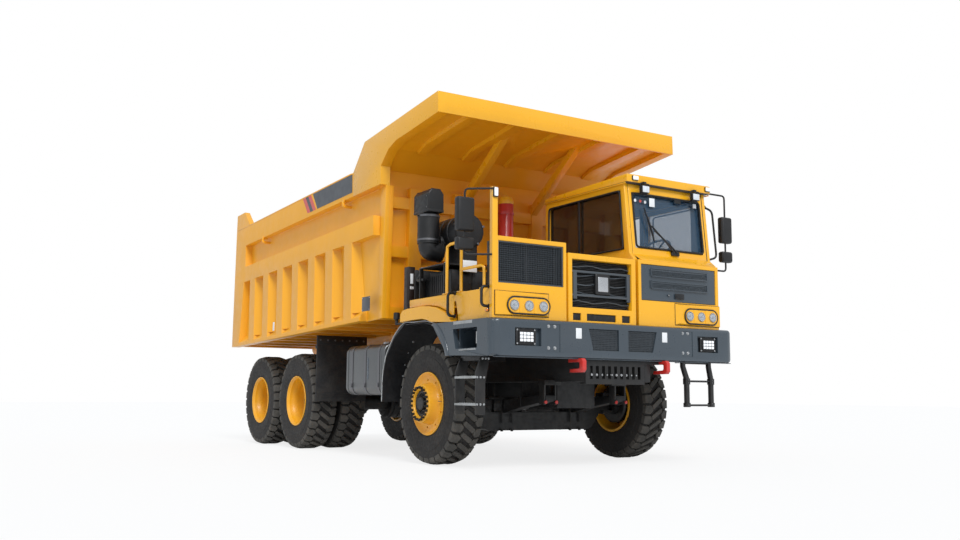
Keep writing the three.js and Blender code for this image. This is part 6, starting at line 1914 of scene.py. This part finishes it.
def addKnuckles():
    for side, s in (("left", 1), ("right", -1)):
        node = "knuckle_" + side
        base = paint(eased(node, 0.006, 3), "cast")
        drum = addTurned("brake_drum",
            [(s * 1.31, 0.0), (s * 1.31, 0.24), (s * 1.33, 0.262), (s * 1.395, 0.262), (s * 1.395, 0.0)],
            (0, 0, axles["hubZ"]), "x", 48)
        can = addRound("brake_chamber", 0.075, -0.3, -0.17, (s * 1.21, 0, 0.8), "y", 28, 0.012)
        paint([drum, can], "blackSteel")
        place(joinPieces(node + "_unit", [base, drum, can]), bodyOf[node], "cast", [node])


def addDrivenAxle(node, y, nose):
    base = paint(eased(node, 0.008, 3), "cast")
    centre = (0, y, axles["hubZ"])
    cover = addTurned("bowl_cover",
        [(0.19, 0.0), (0.19, 0.262), (0.215, 0.245), (0.228, 0.16), (0.232, 0.0)], centre, "x", 48)
    ribs = [addHoop("bowl_rib", x - 0.008, x + 0.008, 0.268, 0.279, centre, "x") for x in (-0.12, 0.0, 0.12)]
    drums = [addTurned("drum",
        [(s * 0.86, 0.139), (s * 0.86, 0.262), (s * 0.88, 0.275), (s * 0.985, 0.275), (s * 0.985, 0.139)], centre,
        "x", 48) for s in (-1, 1)]
    flange = addHoop("input_flange", y - nose - 0.012, y - nose + 0.02, 0.0, 0.085,
        (0, 0, axles["pinionZ"]), "y", 32)
    bolts = ringOf(addRound("bowl_bolt", 0.013, 0.188, 0.226, (0, y, axles["hubZ"] + 0.24), "x", 6), 16, centre)
    paint([cover] + ribs + drums, "cast")
    paint([flange, bolts], "boltSteel")
    place(joinPieces(node + "_unit", [base, cover, flange, bolts] + ribs + drums),
        bodyOf.get(node, "chassis"), "cast", [node])


def addBogie():
    base = paint(eased("bogie_springs", 0.006, 2), "spring")
    lines = [addBox("pack_line", (s * axles["packX"] - 0.0612, axles["packY"] - run, z),
        (s * axles["packX"] + 0.0612, axles["packY"] + run, z + 0.003), 0)
        for s in (-1, 1) for run, z in ((0.62, 0.925), (0.5, 0.905), (0.4, 0.885), (0.3, 0.868), (0.66, 0.945),
        (0.45, 0.965), (0.35, 0.985))]
    ubolts = []
    for s in (-1, 1):
        for y in (4.8, 4.97):
            ubolts.append(addBox("pack_clamp", (s * axles["packX"] - 0.075, y - 0.016, 0.822),
                (s * axles["packX"] + 0.075, y + 0.016, 1.016), 0.005))
    caps = [addRound("trunnion_cap", 0.085, s * 0.68, s * 0.715,
        (0, axles["packY"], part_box("bogie_springs")[0].z + 0.09), "x", 28, 0.006) for s in (-1, 1)]
    paint(lines, "sealAndShadeBlack")
    paint(ubolts + caps, "spring")
    assemble("bogie_spring_packs", [base] + lines + ubolts + caps, "black_steel", ["bogie_springs"])


def addFrameRails():
    rails = paint(eased("chassis_frame", 0.004, 2), "blackSteel")
    rivets = [addRound("rail_bolt", 0.014, 0.5195 * s, 0.534 * s, (0, y, z), "x", 6, 0.002) for s in (-1, 1)
        for y in [1.2 + 0.36 * n for n in range(14)] for z in (1.1, 1.32)]
    paint(rivets, "boltSteel")
    hoses = [addTube("air_line", [(s * 0.4 - s * 0.02, 0.6, z), (s * 0.38, 2.0, z - 0.02), (s * 0.38, 3.9, z)],
        0.012, 0.2) for s in (-1, 1) for z in (1.3, 1.26)]
    paint(hoses, "blackPlastic")
    assemble("frame_rails", [rails] + rivets + hoses, "black_steel", ["chassis_frame"])


# Gearbox and drive shaft between the rails, air reservoirs outside them.
def addDriveline():
    case = addProfile("gearbox_case",
        [(0.56, 0.72), (0.6, 0.66), (1.3, 0.62), (1.42, 0.7), (1.46, 0.86), (1.4, 1.24), (0.56, 1.3)],
        "x", -0.31, 0.31, 0.03, 3)
    ribs = [addBox("gearbox_rib", (-0.322, y, 0.7), (0.322, y + 0.022, 1.22), 0.006)
        for y in (0.7, 0.86, 1.02, 1.18)]
    pan = addBox("gearbox_pan", (-0.24, 0.66, 0.585), (0.24, 1.24, 0.655), 0.016, 3)
    shaft = addTube("drive_shaft", [(0, 1.46, 0.9), (0, 3.52, 0.79)], 0.055, 0, 5)
    yokes = [addRound("shaft_yoke", 0.085, y, y + 0.1, (0, 0, z), "y", 24, 0.012)
        for y, z in ((1.44, 0.9), (3.42, 0.795))]
    parts = [case, pan, shaft] + ribs + yokes
    for s in (-1, 1):
        low, high = sorted((s * 0.56, s * 1.09))
        for y, z in ((1.01, 0.7), (1.3, 0.7)):
            parts.append(addTurned("air_reservoir",
                [(low, 0.0), (low, 0.07), (low + 0.03, 0.115), (low + 0.06, 0.122), (high - 0.06, 0.122),
                (high - 0.03, 0.115), (high, 0.07), (high, 0.0)], (0, y, z), "x", 36))
            parts += [addHoop("reservoir_band", x - 0.015, x + 0.015, 0.12, 0.128, (0, y, z), "x", 36)
                for x in (low + 0.13, high - 0.13)]
        parts += [addBox("reservoir_arm", (x - 0.025, 0.9, 0.8), (x + 0.025, 1.42, 0.84), 0.005)
            for x in (low + 0.13, high - 0.13)]
        parts.append(addBox("reservoir_beam", (min(s * 0.5, s * 0.98), 1.13, 0.84),
            (max(s * 0.5, s * 0.98), 1.19, 1.08), 0.006))
    paint(parts, "blackSteel")
    assemble("driveline", parts, "black_steel")


def addEngine():
    block = paint(eased("engine_block", 0.012, 3), "cast")
    fan = addRound("engine_fan", 0.3, -1.285, -1.245, (-0.03, 0, 1.6), "y", 36, 0.01)
    pulleys = [addTurned("belt_pulley",
        [(-1.3, 0.0), (-1.3, r - 0.01), (-1.285, r), (-1.27, r - 0.012), (-1.255, r), (-1.245, r - 0.01),
        (-1.245, 0.0)], (x, 0, z), "y", 32)
        for x, z, r in ((-0.03, 1.25, 0.12), (0.17, 1.38, 0.07), (-0.22, 1.4, 0.06))]
    head = [addBox("rocker_cover", (-0.27, y, 1.99), (0.2, y + 0.25, 2.06), 0.02, 3)
        for y in (-1.05, -0.76, -0.47, -0.18, 0.11)]
    head += [addTube("exhaust_log", [(0.31, -1.0, 1.75), (0.31, 0.35, 1.75)], 0.05, 0, 4)]
    paint([fan] + pulleys + head, "cast")
    assemble("engine_unit", [block, fan] + pulleys + head, "cast", ["engine_block"])


addTank("tank_fuel", "fuel_tank", 0.85, 1.53, 2.17, (1.142, 1.55, 1.968), (1.56, 1.285), "tankSteel")
addTank("tank_hydraulic", "hydraulic_tank", 0.88, 1.53, 1.92, (1.142, 1.5, 1.78), (1.45, 1.235), "tankSteel")
addFlaps()
addFrontAxle()
addKnuckles()
addDrivenAxle("mid_axle", tyre["midY"], 0.52)
addDrivenAxle("rear_axle", tyre["rearY"], 0.42)
addBogie()
addFrameRails()
addDriveline()
addEngine()
print("tanks and running gear made")


# Telescopic hoist.

hoist = {"y": 0.74, "top": 3.56, "foot": 1.15, "stageRadius": 0.092}


def addHoist():
    y, top = hoist["y"], hoist["top"]
    cover = paint(eased("hoist_cover", 0.004, 2), "redPaint")
    paintWhere(cover, "yellowPaint", lambda c: c.z > top - 0.002)
    skirt = [addHoop("cover_band", z, z + 0.03, 0.108, 0.118, (0, y, 0), "z") for z in (3.4, 2.6, 1.95)]
    paint(skirt, "redPaint")
    dome = addTurned("cover_dome",
        [(3.552, 0.0), (3.552, 0.114), (3.6, 0.114), (3.63, 0.103), (3.65, 0.075), (3.657, 0.035), (3.658, 0.0)],
        (0, y, 0), "z", 48)
    eye = addTube("dome_eye", [(-0.03, y, 3.655), (-0.03, y, 3.69), (0.03, y, 3.69), (0.03, y, 3.655)], 0.007, 0.02)
    paint([dome, eye], "yellowPaint")
    place(joinPieces("hoist_cover_unit", [cover, dome, eye] + skirt), bodyOf["hoist_cover"],
        "red_paint", ["hoist_cover"])
    for node in ("hoist_stage_1", "hoist_stage_2"):
        stage = paint(eased(node, 0.002, 1), "chrome")
        low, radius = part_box(node)[0].z, hoist["stageRadius"]
        if node == "hoist_stage_1":
            gland = addHoop("gland", low - 0.001, low + 0.02, radius - 0.004, radius + 0.0015, (0, y, 0), "z")
            extras = [paint(gland, "sealAndShadeBlack")]
        else:
            extras = [addRound("foot_boss", 0.052, s * 0.045, s * 0.064, (0, y, hoist["foot"]), "x", 28)
                for s in (-1, 1)]
            paint(extras, "cast")
        assemble(node + "_unit", [stage] + extras, "hoist_chrome", [node], bodyOf[node])


addHoist()
print("hoist made")

size = {"cad": cadBox, "visual": [list(corner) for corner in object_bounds()]}
print("size:", size)
